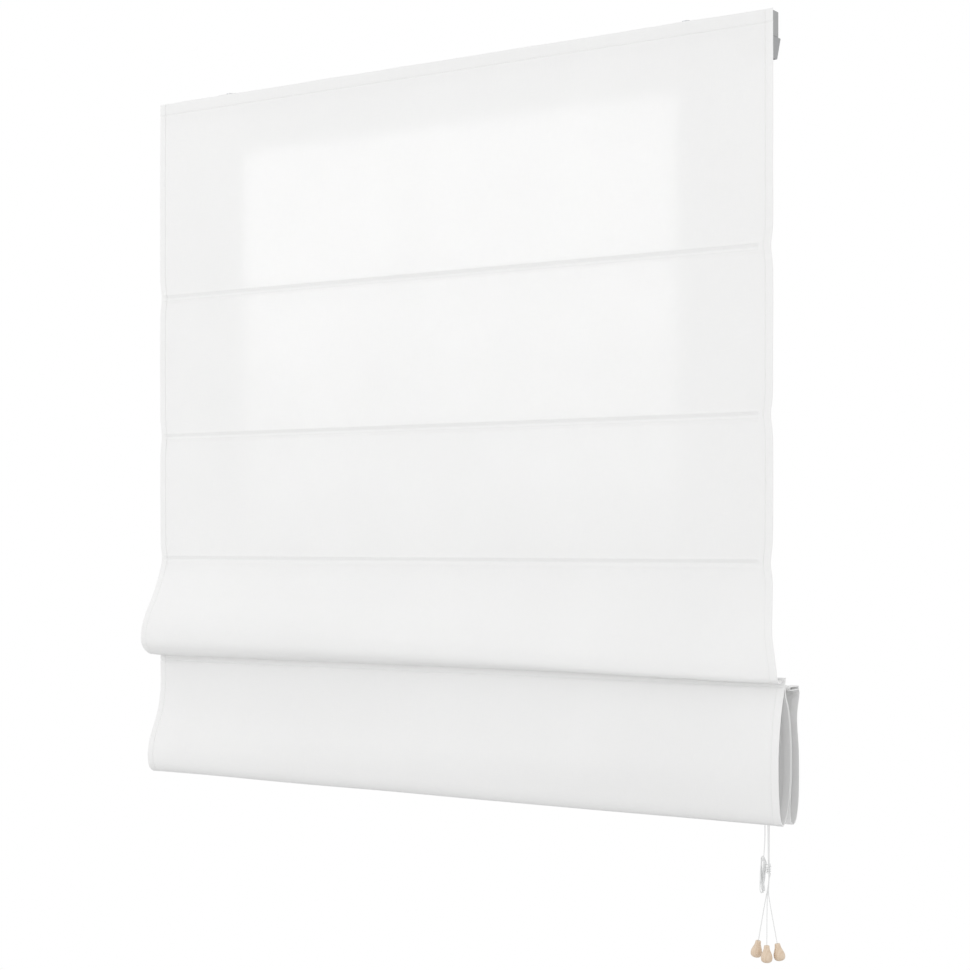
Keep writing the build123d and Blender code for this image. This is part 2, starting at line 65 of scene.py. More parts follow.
# ---------------------------------------------------------------- places taken from the frame
PANEL_LOW, PANEL_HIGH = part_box("upper_cloth")
STACK_LOW, STACK_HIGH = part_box("stack_cloth")
PANEL_HALF = PANEL_HIGH.x
PANEL_TOP = PANEL_HIGH.z
PANEL_FOOT = PANEL_LOW.z
STACK_HALF = STACK_HIGH.x
CLOTH_THICK = 0.0008
HEM_EDGE = 0.0006               # half the width over which the cloth thickens at a hem
STITCH_PITCH, STITCH_LIFT = 0.0036, 0.00005
YARN_PITCH = 0.0007
CLOTH_MID = PANEL_LOW.y + CLOTH_THICK / 2
LIFT_X = [sum(corner.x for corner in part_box("lift_cord_%d" % n)) / 2 for n in (1, 2, 3)]
SEAM_Z = [sum(corner.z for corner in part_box("rod_%d" % n)) / 2 for n in (1, 2, 3)]
ROD_Y = sum(corner.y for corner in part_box("rod_1")) / 2
FLAP_ROD = [sum(corner[axis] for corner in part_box("rod_4")) / 2 for axis in (1, 2)]
SECOND_ROD = [sum(corner[axis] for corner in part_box("rod_5")) / 2 for axis in (1, 2)]
BAR_LOW, BAR_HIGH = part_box("bottom_bar")
POCKET_X = (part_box("rod_1")[0].x - 0.005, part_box("rod_1")[1].x + 0.005)
CHANNEL_OUTER, CHANNEL_INNER, CHANNEL_WAVE = 0.0031, 0.0023, 0.0002
CASING_HALF = 0.0058
HEADING_BAND = 0.020
CORD_LINE_Y = sum(corner.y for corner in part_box("lift_cord_1")) / 2
LOCK_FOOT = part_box("lock_housing")[0].z
HANK_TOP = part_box("cord_hank")[1].z
KNOT_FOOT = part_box("cord_knot")[0].z
PULL_X = sum(corner.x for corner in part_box("cord_knot")) / 2
PULL_Y = sum(corner.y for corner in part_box("cord_knot")) / 2


# ---------------------------------------------------------------- what a user would change
class BlindCloth(bpy.types.PropertyGroup):
    """Sizes and colours of the cloth."""
    hem: FloatProperty(name="Side hem", description="Width of the folded side hem", default=0.012, unit="LENGTH")
    hem_thick: FloatProperty(name="Hem thickness", description="Thickness of the folded hem",
                             default=0.0014, unit="LENGTH")
    tuck_deep: FloatProperty(name="Tuck depth", description="How far each seam is drawn in",
                             default=0.0012, unit="LENGTH")
    pull_in: FloatProperty(name="Draw-in", description="How much narrower the cloth is at each seam, on each side",
                           default=0.0034, unit="LENGTH")
    bulge_left: FloatProperty(name="Belly left",
                              description="Forward reach of the hanging section at the left edge, over its drawn shape",
                              default=1.3)
    bulge_right: FloatProperty(name="Belly right",
                               description="Forward reach of the hanging section at the right edge, "
                                           "over its drawn shape",
                               default=0.45)
    drape: FloatProperty(name="Drape", description="Height of the soft waves across the cloth",
                         default=0.0016, unit="LENGTH")
    colour: FloatVectorProperty(name="Cloth", description="Colour of the cotton",
                                default=(0.885, 0.885, 0.882), size=3, min=0, max=1, subtype="COLOR")
    thread: FloatVectorProperty(name="Thread", description="Colour of the sewing thread",
                                default=(0.80, 0.80, 0.79), size=3, min=0, max=1, subtype="COLOR")
    see_through: FloatProperty(name="Light passed", description="Share of the light that passes through the cloth",
                               default=0.11, min=0, max=1, subtype="FACTOR")


class BlindCords(bpy.types.PropertyGroup):
    """Sizes and colour of the cords."""
    diameter: FloatProperty(name="Cord", description="Diameter of the braided cord", default=0.0014, unit="LENGTH")
    turns: IntProperty(name="Hank turns", description="Lengthwise turns in the hank", default=6, min=2, max=8)
    colour: FloatVectorProperty(name="Cord colour", description="Colour of the braided cord",
                                default=(0.84, 0.845, 0.845), size=3, min=0, max=1, subtype="COLOR")


class BlindWood(bpy.types.PropertyGroup):
    """Colours of the turned acorns."""
    light: FloatVectorProperty(name="Light grain", description="Colour of the light grain",
                               default=(0.73, 0.595, 0.46), size=3, min=0, max=1, subtype="COLOR")
    dark: FloatVectorProperty(name="Dark grain", description="Colour of the dark grain",
                              default=(0.64, 0.495, 0.36), size=3, min=0, max=1, subtype="COLOR")


class BlindStudio(bpy.types.PropertyGroup):
    """Camera and light."""
    camera: FloatVectorProperty(name="Camera", description="Place of the camera",
                                default=(1.852, -2.777, -0.756), size=3, subtype="TRANSLATION", unit="LENGTH")
    turn: FloatProperty(name="Camera turn", description="Turn of the camera about the vertical",
                        default=math.radians(33.22), unit="ROTATION")
    lens: FloatProperty(name="Lens", description="Focal length in millimetres", default=74.2)
    rise: FloatProperty(name="Rise", description="Vertical shift of the lens", default=0.0557)
    sky: FloatProperty(name="Room light", description="Strength of the light from all round", default=1.0)
    key: FloatProperty(name="Key light", description="Power of the soft light at the front left, in watts",
                       default=22.0)
    fill: FloatProperty(name="Fill light", description="Power of the soft light at the front right, in watts",
                        default=6.0)
    window: FloatProperty(name="Window light",
                          description="Power of the soft light behind the cloth, in watts per square metre",
                          default=12.0)


# ---------------------------------------------------------------- small helpers
def step(value, low, high):
    """0 below low, 1 above high, and smooth between."""
    part = min(1.0, max(0.0, (value - low) / (high - low)))
    return part * part * (3 - 2 * part)


def bell(value, width):
    return math.exp(-(value / width) ** 2)


def ripple(*place):
    """Smooth repeatable waviness from -1 to 1."""
    return noise.noise(Vector(place))


class Profile:
    """A smooth line through Y-Z points, read by its length."""

    def __init__(self, points, fine=10):
        ends = [[2 * a - b for a, b in zip(points[0], points[1])],
                [2 * a - b for a, b in zip(points[-1], points[-2])]]
        chain = [ends[0]] + [list(p) for p in points] + [ends[1]]
        self.line = []
        for p0, p1, p2, p3 in zip(chain, chain[1:], chain[2:], chain[3:]):
            for part in range(fine):
                self.line.append(self.between(p0, p1, p2, p3, part / fine))
        self.line.append(list(points[-1]))
        self.run = [0.0]
        for a, b in zip(self.line, self.line[1:]):
            self.run.append(self.run[-1] + math.dist(a, b))
        self.long = self.run[-1]

    @staticmethod
    def between(p0, p1, p2, p3, t):
        """A point on the span p1-p2, with even speed on uneven spans."""
        steps = [max(1e-6, math.dist(a, b) ** 0.5) for a, b in ((p0, p1), (p1, p2), (p2, p3))]
        t1, t2 = steps[0], steps[0] + steps[1]
        t3 = t2 + steps[2]
        u = t1 + (t2 - t1) * t

        def mix(a, b, ta, tb):
            share = (u - ta) / (tb - ta)
            return [x + (y - x) * share for x, y in zip(a, b)]
        a1, a2, a3 = mix(p0, p1, 0, t1), mix(p1, p2, t1, t2), mix(p2, p3, t2, t3)
        return mix(mix(a1, a2, 0, t2), mix(a2, a3, t1, t3), t1, t2)

    def at(self, share):
        """The point that lies this share of the length along the line."""
        want = share * self.long
        low, high = 0, len(self.run) - 1
        while high - low > 1:
            middle = (low + high) // 2
            if self.run[middle] <= want:
                low = middle
            else:
                high = middle
        span = self.run[high] - self.run[low]
        part = (want - self.run[low]) / span if span else 0.0
        return [a + (b - a) * part for a, b in zip(self.line[low], self.line[high])]


def places(low, high, gap, *close):
    """Numbers from low to high at an even gap, with finer ones near each (middle, reach, gap)."""
    spans = round((high - low) / gap)
    found = {round(low + (high - low) * k / spans, 5) for k in range(spans + 1)}
    for middle, reach, fine in close:
        found = {v for v in found if abs(v - middle) > reach or v in (round(low, 5), round(high, 5))}
        count = round(reach / fine)
        found |= {round(middle + fine * k, 5) for k in range(-count, count + 1)}
    found = sorted(v for v in found if low - 1e-6 <= v <= high + 1e-6)
    kept = found[:1]
    for v in found[1:]:
        if v - kept[-1] > 0.00025 or v == found[-1]:
            kept.append(v)
    return kept


def new_piece(name, points, faces):
    """A smooth-shaded mesh object with its place in its mesh."""
    mesh = bpy.data.meshes.new(name)
    mesh.from_pydata([tuple(p) for p in points], [], faces)
    mesh.update()
    for polygon in mesh.polygons:
        polygon.use_smooth = True
    piece = bpy.data.objects.new(name, mesh)
    bpy.context.scene.collection.objects.link(piece)
    return piece


def lay_uv(piece, values):
    """Gives each corner of the mesh its point's place on the flat cloth or along the cord."""
    layer = piece.data.uv_layers.new(name="Flat")
    for loop in piece.data.loops:
        layer.data[loop.index].uv = values[loop.vertex_index]


def cloth_shell(name, spot, columns, rows, thick, long):
    """A sheet with thickness: spot(x, share) is a point of its middle, thick(x) its thickness there."""
    grid = [[spot(x, f) for x in columns] for f in rows]
    tall, wide = len(rows), len(columns)
    points, flat = [], []
    for side in (0.5, -0.5):
        for i in range(tall):
            for j in range(wide):
                down = grid[min(i + 1, tall - 1)][j] - grid[max(i - 1, 0)][j]
                across = grid[i][min(j + 1, wide - 1)] - grid[i][max(j - 1, 0)]
                points.append(grid[i][j] + down.cross(across).normalized() * thick(columns[j]) * side)
                flat.append((columns[j], -rows[i] * long))

    def index(layer, i, j):
        return layer * tall * wide + i * wide + j
    faces = []
    for i in range(tall - 1):
        for j in range(wide - 1):
            ring = [(i, j), (i + 1, j), (i + 1, j + 1), (i, j + 1)]
            faces.append([index(0, *c) for c in ring])
            faces.append([index(1, *c) for c in reversed(ring)])
    rims = []
    for j in range(wide - 1):
        rims.append(((0, j), (0, j + 1)))
        rims.append(((tall - 1, j + 1), (tall - 1, j)))
    for i in range(tall - 1):
        rims.append(((i + 1, 0), (i, 0)))
        rims.append(((i, wide - 1), (i + 1, wide - 1)))
    for a, b in rims:
        faces.append([index(0, *a), index(0, *b), index(1, *b), index(1, *a)])
    piece = new_piece(name, points, faces)
    on_rim = set()
    for layer in (0, 1):
        for a, b in rims:
            on_rim.add(frozenset((index(layer, *a), index(layer, *b))))
    for edge in piece.data.edges:
        edge.use_edge_sharp = frozenset(edge.vertices) in on_rim
    lay_uv(piece, flat)
    return piece


def sewn_channel(name, centre, neck_way, neck_long, neck_half):
    """The open-ended pocket round a rod, with the short neck of double cloth that carries it."""
    sides = 28
    turn = math.atan2(neck_way[1], neck_way[0])
    outer, inner = [], []
    for k in range(sides):
        angle = turn + math.tau * (k + 0.5) / sides
        y, z = math.cos(angle), math.sin(angle)
        outer.append([centre[0] + CHANNEL_OUTER * y, centre[1] + CHANNEL_OUTER * z])
        inner.append([centre[0] + CHANNEL_INNER * y, centre[1] + CHANNEL_INNER * z])
    along = Vector((neck_way[0], neck_way[1]))
    across = Vector((-along.y, along.x))
    reach = CHANNEL_OUTER + neck_long
    for k, sign in ((0, 1), (sides - 1, -1)):
        corner = Vector(centre) + along * reach + across * neck_half * sign
        outer[k] = [corner.x, corner.y]
    for k, sign in ((1, 1), (sides - 2, -1)):
        corner = Vector(centre) + along * (CHANNEL_OUTER * 0.9) + across * neck_half * 1.25 * sign
        outer[k] = [corner.x, corner.y]
    columns = places(*POCKET_X, 0.012)
    points, flat, faces = [], [], []
    for x in columns:
        sway = CHANNEL_WAVE * ripple(x * 14, centre[1] * 9, 0.5)
        for ring in (outer, inner):
            for k, (y, z) in enumerate(ring):
                points.append((x, y, z + sway))
                flat.append((x, k * 0.0007))
    for c in range(len(columns) - 1):
        a, b = c * 2 * sides, (c + 1) * 2 * sides
        for k in range(sides):
            m = (k + 1) % sides
            faces.append([a + k, a + m, b + m, b + k])
            faces.append([a + sides + m, a + sides + k, b + sides + k, b + sides + m])
    last = (len(columns) - 1) * 2 * sides
    for k in range(sides):
        m = (k + 1) % sides
        faces.append([k, sides + k, sides + m, m])
        faces.append([last + k, last + m, last + sides + m, last + sides + k])
    piece = new_piece(name, points, faces)
    lay_uv(piece, flat)
    sharpen(piece, 50)
    return piece


def deselect():
    if bpy.context.object and bpy.context.object.mode != "OBJECT":
        bpy.ops.object.mode_set(mode="OBJECT")
    bpy.ops.object.select_all(action="DESELECT")


def pick(piece):
    deselect()
    piece.select_set(True)
    bpy.context.view_layer.objects.active = piece


def sharpen(piece, degrees):
    pick(piece)
    bpy.ops.object.shade_smooth_by_angle(angle=math.radians(degrees))
    deselect()


# ---------------------------------------------------------------- finishes
class Finish:
    """A material being wired up."""

    def __init__(self, name):
        self.material = bpy.data.materials.new(name)
        self.material.use_nodes = True
        self.tree = self.material.node_tree
        self.tree.nodes.clear()

    def node(self, kind, settings=None, **inputs):
        made = self.tree.nodes.new("ShaderNode" + kind)
        for key, value in (settings or {}).items():
            setattr(made, key, value)
        for key, value in inputs.items():
            socket = made.inputs[int(key[1:])] if key[0] == "_" else made.inputs[key.replace("_", " ")]
            if isinstance(value, bpy.types.NodeSocket):
                self.tree.links.new(value, socket)
            else:
                socket.default_value = value
        return made.outputs[0]

    def sum(self, a, b):
        return self.node("Math", {"operation": "ADD"}, _0=a, _1=b)

    def times(self, a, b):
        return self.node("Math", {"operation": "MULTIPLY"}, _0=a, _1=b)

    def wave(self, length, pitch):
        return self.node("Math", {"operation": "SINE"}, _0=self.times(length, math.tau / pitch))

    def stretched(self, where, scale, detail=3.0):
        placed = self.node("Mapping", Vector=where, Scale=scale)
        return self.node("TexNoise", Vector=placed, Scale=1.0, Detail=detail, Roughness=0.55)

    def between(self, share, a, b):
        """a where share is 0 and b where it is 1; each is a colour or a socket."""
        mixed = self.tree.nodes.new("ShaderNodeMix")
        mixed.data_type = "RGBA"
        self.tree.links.new(share, mixed.inputs["Factor"])
        for socket, value in ((mixed.inputs[6], a), (mixed.inputs[7], b)):
            if isinstance(value, bpy.types.NodeSocket):
                self.tree.links.new(value, socket)
            else:
                socket.default_value = (*value, 1)
        return mixed.outputs[2]

    def ranged(self, value, low, high, start=0.3, end=0.7):
        return self.node("MapRange", Value=value, _1=start, _2=end, _3=low, _4=high)

    def bump(self, height, strength, distance, normal=None):
        sockets = {"Normal": normal} if normal else {}
        return self.node("Bump", Height=height, Strength=strength, Distance=distance, **sockets)

    def out(self, shader):
        end = self.tree.nodes.new("ShaderNodeOutputMaterial")
        self.tree.links.new(shader, end.inputs["Surface"])
        return self.material


def shade(colour, by):
    return tuple(max(0.0, min(1.0, part * by)) for part in colour)


def plain_weave(name, colour, see_through):
    """Fine cotton in plain weave, with slubs, a soft nap, and light showing through it."""
    f = Finish(name)
    flat = f.node("UVMap", {"uv_map": "Flat"})
    split = f.tree.nodes.new("ShaderNodeSeparateXYZ")
    f.tree.links.new(flat, split.inputs[0])
    weave = f.times(f.wave(split.outputs[0], YARN_PITCH), f.wave(split.outputs[1], YARN_PITCH))
    weft = f.stretched(flat, (45, 1500, 1))
    warp = f.stretched(flat, (1500, 45, 1))
    slubs = f.sum(weft, warp)
    clouds = f.stretched(flat, (5, 4, 1), 2.0)
    tint = f.sum(f.times(slubs, 0.35), f.times(clouds, 0.3))
    base = f.between(f.ranged(tint, 0, 1, 0.35, 0.65), shade(colour, 0.975), shade(colour, 1.012))
    fine = f.bump(f.sum(f.times(weave, 0.35), slubs), 0.22, 0.00025)
    soft = f.bump(f.stretched(flat, (7, 5, 1), 2.0), 0.25, 0.004, fine)
    body = f.node("BsdfPrincipled", Base_Color=base, Roughness=0.86, Normal=soft, Sheen_Weight=0.12,
                  Sheen_Roughness=0.5, Specular_IOR_Level=0.25)
    through = f.node("BsdfTranslucent", Color=base, Normal=soft)
    both = f.node("MixShader", _0=see_through, _1=body, _2=through)
    return f.out(both)


def braid(name, colour, diameter, by_length=True):
    """Braided cotton cord with painted shade in the grooves between its strands; by_length follows the cord's own
    length.
    """
    f = Finish(name)
    if by_length:
        where = f.node("UVMap", {"uv_map": "Flat"})
        split = f.tree.nodes.new("ShaderNodeSeparateXYZ")
        f.tree.links.new(where, split.inputs[0])
        around = f.times(split.outputs[0], 4.0 * math.tau)
        along = f.times(split.outputs[1], math.tau / (diameter * 2.2))
        left = f.node("Math", {"operation": "SINE"}, _0=f.sum(around, along))
        right = f.node("Math", {"operation": "SINE"},
                       _0=f.node("Math", {"operation": "SUBTRACT"}, _0=around, _1=along))
        height = f.node("Math", {"operation": "MAXIMUM"}, _0=left, _1=right)
    else:
        where = f.tree.nodes.new("ShaderNodeTexCoord").outputs["Object"]
        height = f.node("TexVoronoi", {"feature": "SMOOTH_F1"}, Vector=where, Scale=1400.0)
    fuzz = f.stretched(where, (900, 900, 900), 2.0)
    # The base colour darkens where the relief is low, in the grooves between the strands or fibres: painted shade.
    base = f.between(f.ranged(height, 0, 1, -0.6, 1.0), shade(colour, 0.86), colour)
    relief = f.bump(f.sum(height, f.times(fuzz, 0.4)), 0.5, 0.00012)
    return f.out(f.node("BsdfPrincipled", Base_Color=base, Roughness=0.8, Normal=relief, Sheen_Weight=0.2,
                        Sheen_Roughness=0.5, Specular_IOR_Level=0.3))


def turned_wood(name, light, dark):
    """Waxed beech, turned along its grain, with short darker flecks."""
    f = Finish(name)
    where = f.tree.nodes.new("ShaderNodeTexCoord").outputs["Object"]
    bent = f.node("Mapping", Vector=where, Scale=(1, 1, 0.16), Rotation=(0.12, 0.2, 0.5))
    rings = f.node("TexWave", {"bands_direction": "X"}, Vector=bent, Scale=95.0, Distortion=3.2, Detail=2.0,
                   Detail_Scale=1.6)
    fibre = f.stretched(where, (1500, 1500, 70), 3.0)
    fleck = f.stretched(where, (900, 900, 190), 1.0)
    grain = f.sum(f.times(rings, 0.55), f.times(fibre, 0.45))
    base = f.between(f.ranged(grain, 0, 1, 0.05, 0.95), dark, light)
    flecked = f.between(f.ranged(fleck, 0, 0.28, 0.64, 0.74), base, shade(dark, 0.72))
    rough = f.ranged(fibre, 0.36, 0.52)
    relief = f.bump(f.sum(fibre, f.times(fleck, 0.5)), 0.14, 0.0003)
    return f.out(f.node("BsdfPrincipled", Base_Color=flecked, Roughness=rough, Normal=relief,
                        Coat_Weight=0.12, Coat_Roughness=0.3))


def hard_finish(name, colour, metal, rough, grain, stretch=(1, 1, 1), bump=0.05, spread=0.05, coat=0.0):
    """Paint, plastic or metal with fine grain and slightly uneven gloss."""
    f = Finish(name)
    where = f.tree.nodes.new("ShaderNodeTexCoord").outputs["Object"]
    fine = f.stretched(where, tuple(grain * s for s in stretch), 3.0)
    cloud = f.stretched(where, (22, 22, 22), 3.0)
    base = f.between(f.ranged(f.sum(f.times(fine, 0.5), f.times(cloud, 0.5)), 0, 1, 0.35, 0.65),
                     shade(colour, 1 - spread), shade(colour, 1 + spread))
    gloss = f.ranged(f.sum(f.times(fine, 0.6), f.times(cloud, 0.4)), rough * 0.82, min(1.0, rough * 1.18))
    return f.out(f.node("BsdfPrincipled", Base_Color=base, Metallic=metal, Roughness=gloss,
                        Normal=f.bump(fine, bump, 0.0002), Coat_Weight=coat, Coat_Roughness=0.2))


def looped_tape(name, colour):
    """Hook and loop tape: a dense field of tiny loops, with painted shade in the hollows between them."""
    f = Finish(name)
    where = f.tree.nodes.new("ShaderNodeTexCoord").outputs["Object"]
    loops = f.node("TexVoronoi", Vector=where, Scale=850.0)
    fuzz = f.stretched(where, (500, 500, 500), 4.0)
    height = f.sum(f.times(loops, 0.7), f.times(fuzz, 0.6))
    # The base colour darkens where the relief is low, between the loops: painted shade.
    base = f.between(f.ranged(height, 0, 1, 0.3, 0.9), shade(colour, 0.82), colour)
    return f.out(f.node("BsdfPrincipled", Base_Color=base, Roughness=0.95, Normal=f.bump(height, 0.7, 0.0006),
                        Sheen_Weight=0.3, Sheen_Roughness=0.6, Specular_IOR_Level=0.2))


def clear_ring(name, colour):
    """Glossy moulded rings and beads that let some light in."""
    f = Finish(name)
    where = f.tree.nodes.new("ShaderNodeTexCoord").outputs["Object"]
    fine = f.stretched(where, (140, 140, 140), 2.0)
    base = f.between(f.ranged(fine, 0, 1), shade(colour, 0.96), colour)
    return f.out(f.node("BsdfPrincipled", Base_Color=base, Roughness=f.ranged(fine, 0.18, 0.28),
                        Normal=f.bump(fine, 0.05, 0.0004), Transmission_Weight=0.25, IOR=1.46))


def wear(piece, material):
    """Gives a new piece its only material."""
    piece.data.materials.clear()
    piece.data.materials.append(material)


FINISHES = {}


def finish_named(slot):
    """The material of one of the record's slots, made once."""
    if slot not in FINISHES:
        scene = bpy.context.scene
        cloth, cords, wood = scene.blind_cloth, scene.blind_cords, scene.blind_wood
        make = {
            "cotton_cloth": lambda: plain_weave("cotton_weave", cloth.colour[:], cloth.see_through),
            "sewing": lambda: braid("sewing_thread", cloth.thread[:], 0.0004, False),
            "cord_cotton": lambda: braid("braided_cord", cords.colour[:], cords.diameter),
            "cord_in_rail": lambda: braid("braided_cord_in_rail", cords.colour[:], cords.diameter, False),
            "beech_wood": lambda: turned_wood("waxed_beech", wood.light[:], wood.dark[:]),
            "rail_metal": lambda: hard_finish("satin_grey_rail", (0.345, 0.352, 0.352), 0.0, 0.42, 700, (0.05, 1, 1),
                                              0.06, 0.03, 0.15),
            "grey_plastic": lambda: hard_finish("grey_end_cap", (0.33, 0.335, 0.335), 0.0, 0.55, 1500, bump=0.16),
            "bracket_metal": lambda: hard_finish("white_powder_coat", (0.74, 0.74, 0.73), 0.0, 0.5, 900, bump=0.22,
                                                 spread=0.02),
            "cam_metal": lambda: hard_finish("zinc_plate", (0.56, 0.57, 0.58), 1.0, 0.38, 260, (1, 9, 9), 0.08),
            "heading_tape": lambda: looped_tape("loop_tape_white", (0.84, 0.84, 0.83)),
            "white_plastic": lambda: hard_finish("white_moulding", (0.80, 0.80, 0.785), 0.0, 0.42, 420, bump=0.07,
                                                 spread=0.02),
            "pin_steel": lambda: hard_finish("ground_steel", (0.55, 0.55, 0.56), 1.0, 0.26, 300, (9, 1, 9), 0.05),
            "lock_metal": lambda: hard_finish("satin_grey_lock", (0.27, 0.275, 0.28), 0.0, 0.4, 900, bump=0.08,
                                              spread=0.04, coat=0.2),
            "rod_plastic": lambda: hard_finish("fibre_rod", (0.78, 0.78, 0.72), 0.0, 0.35, 500, (0.04, 1, 1), 0.1,
                                               coat=0.2),
            "ring_plastic": lambda: clear_ring("clear_white_ring", (0.88, 0.88, 0.86)),
            "bar_aluminium": lambda: hard_finish("mill_aluminium", (0.70, 0.70, 0.71), 1.0, 0.34, 900, (0.03, 1, 1),
                                                 0.09, 0.03),
        }
        FINISHES[slot] = make[slot]()
    return FINISHES[slot]


# ---------------------------------------------------------------- cloth shapes
def panel_face(x, z):
    """Where the flat cloth's middle lies for a point (x, z) of the cut cloth."""
    cloth = bpy.context.scene.blind_cloth
    stitched = step(x, POCKET_X[0] - 0.006, POCKET_X[0] + 0.004)
    stitched *= 1 - step(x, POCKET_X[1] - 0.004, POCKET_X[1] + 0.006)
    nearest = min([PANEL_TOP - 0.03 - z] + [abs(z - seam) for seam in SEAM_Z])
    free = step(nearest, 0.0, 0.09)
    pinch = sum(bell(z - seam, 0.02) for seam in SEAM_Z)
    y = CLOTH_MID - cloth.drape * free * (ripple(x * 2.1, 0.3, z * 3.3) + 0.35 * ripple(x * 7, 4.3, z * 1.6))
    for number, seam in enumerate(SEAM_Z):
        away = z - seam
        y += cloth.tuck_deep * bell(away, 0.0026) * stitched
        y -= 0.0005 * bell(abs(away) - CASING_HALF, 0.0024) * stitched
        y += 0.0005 * ripple(x * 34, number * 3.7, 0.2) * bell(away, 0.013)
    drop = PANEL_TOP - z
    y += 0.0005 * bell(drop - HEADING_BAND, 0.0013)
    y -= 0.0004 * step(HEADING_BAND - drop, 0.0, 0.002)
    gathers = 0.0009 * ripple(x * 31, 1.1, 0.4 + drop * 9) + 0.0006 * ripple(x * 12, 5.1, drop * 14)
    y += gathers * (1 - step(drop, 0.006, 0.034))
    inside = PANEL_HALF - abs(x)
    y -= 0.0004 * step(cloth.hem - inside, -0.0006, 0.0006)
    y += 0.00045 * bell(inside - cloth.hem - 0.0004, 0.0011)
    across = x - cloth.pull_in * pinch * (x / PANEL_HALF) * abs(x / PANEL_HALF)
    across += 0.0007 * (x / PANEL_HALF) * ripple(z * 11, 2.2, 0.1) * step(abs(x), 0.5, 0.6)
    return Vector((across, y, z))


def casing_spot(seam):
    """The middle of the extra layer of cloth sewn behind the panel along a seam."""
    def spot(x, share):
        place = panel_face(x, seam + CASING_HALF * (1 - 2 * share))
        place.y += 0.00095 + 0.0002 * ripple(x * 21, seam * 5, share)
        return place
    return spot


def panel_spot(x, share):
    drop = share * (PANEL_TOP - PANEL_FOOT)
    place = panel_face(x, PANEL_TOP - drop)
    place.z += 0.0007 * ripple(x * 13, 0.7, 0.4) * bell(drop, 0.014)
    return place


BULGE_TOP = PANEL_FOOT
BULGE_LEFT = ((0, 0), (-0.0028, -0.022), (-0.0150, -0.062), (-0.0280, -0.098), (-0.0325, -0.128),
              (-0.0290, -0.153), (-0.0160, -0.1680), (-0.002, -0.1705), (0.0098, -0.1696))
BULGE_RIGHT = ((0, 0), (-0.0016, -0.027), (-0.0095, -0.074), (-0.0225, -0.118), (-0.0305, -0.152),
               (-0.0265, -0.169), (-0.0125, -0.1726), (-0.001, -0.1714), (0.0098, -0.1696))
BULGE_SOFT = (0, 0.05, 0.3, 0.7, 1.0, 1.0, 1.0, 0.7, 0.0)


def belly(x):
    """The hanging section's line at this place across the blind."""
    cloth = bpy.context.scene.blind_cloth
    side = (x / PANEL_HALF + 1) / 2
    swell = cloth.bulge_left + (cloth.bulge_right - cloth.bulge_left) * side
    swell += 0.03 * ripple(x * 3.1, 7.7, 0.2)
    creased = sum(bell(x - at - 0.012, 0.02) for at in LIFT_X)
    swell -= 0.03 * creased
    lifted = 0.0062 * (1 - step(x, 0.1, 0.6)) - 0.0025 * (1 - step(x, -0.6, -0.2)) + 0.0006 * creased
    points = []
    for left, right, soft in zip(BULGE_LEFT, BULGE_RIGHT, BULGE_SOFT):
        reach, drop = (a + (b - a) * step(side, 0.0, 0.9) for a, b in zip(left, right))
        forward = reach * swell if reach < 0 else reach
        sway = soft * 0.0022 * ripple(x * 4.2, drop * 12, 1.9)
        points.append((CLOTH_MID + forward + sway, BULGE_TOP + drop + lifted * soft))
    return Profile(points)


BELLIES = {}


def bulge_spot(x, share):
    key = round(x, 5)
    if key not in BELLIES:
        BELLIES[key] = belly(key)
    y, z = BELLIES[key].at(share)
    top = panel_face(x, min(BULGE_TOP, z))
    fade = 1 - step(share, 0.0, 0.28)
    wider = 1 + (STACK_HALF / PANEL_HALF - 1) * step(share, 0.45, 0.95)
    flare = 0.0032 * step(x, 0.42, 0.6) * bell(share - 0.80, 0.28)
    flare -= 0.006 * step(-x, 0.42, 0.6) * bell(share - 0.62, 0.22)
    return Vector(((x + (top.x - x) * fade) * wider + flare, y + (top.y - CLOTH_MID) * fade, z))


def ydz(points):
    """Y-Z points given in millimetres from the first seam line behind the flap."""
    return [(CORD_LINE_Y + y / 1000, FLAP_ROD[1] + z / 1000) for y, z in points]


INNER_LOOP = ((10, -183), (14.5, -143), (13, -93), (4, -48), (-8, -23), (-8.4, -10.3))
FLAP_LEFT = ydz(((-11.4, 1.4), (-12, -21), (-13, -62), (-22, -105), (-42, -155), (-47.5, -189), (-43, -216),
                 (-29, -224), (-8, -216)) + INNER_LOOP)
FLAP_RIGHT = ydz(((-11.4, 1.4), (-14.5, -21), (-23, -60), (-29, -103), (-30, -140), (-25.5, -182), (-19, -211),
                  (-10.5, -220.5), (-1, -211)) + INNER_LOOP)
FLAP_SWAY = (0, 0.12, 0.4, 0.75, 1, 1, 1, 0.9, 0.5, 0.1, 0, 0, 0, 0, 0)
FLAP_LIFT = (0, 0, 0.05, 0.15, 0.35, 0.75, 1, 1, 0.9, 0.45, 0.1, 0, 0, 0, 0)
BACK_LOOP = ydz(((-6.6, -10.3), (-6.2, -23), (6.2, -48.6), (15.4, -93.4), (16.9, -143), (13.4, -183), (13, -204),
                 (20, -220), (32, -218), (41, -200), (45.6, -172), (44.5, -113), (37, -58), (42, -34), (44, -24)))
BACK_SWAY = (0, 0, 0, 0, 0, 0, 0, 0.1, 0.4, 0.8, 1, 1, 0.8, 0.4, 0.1)
BACK_LIFT = (0, 0, 0, 0, 0.2, 0.7, 1, 1, 1, 0.8, 0.35, 0, 0, 0, 0)


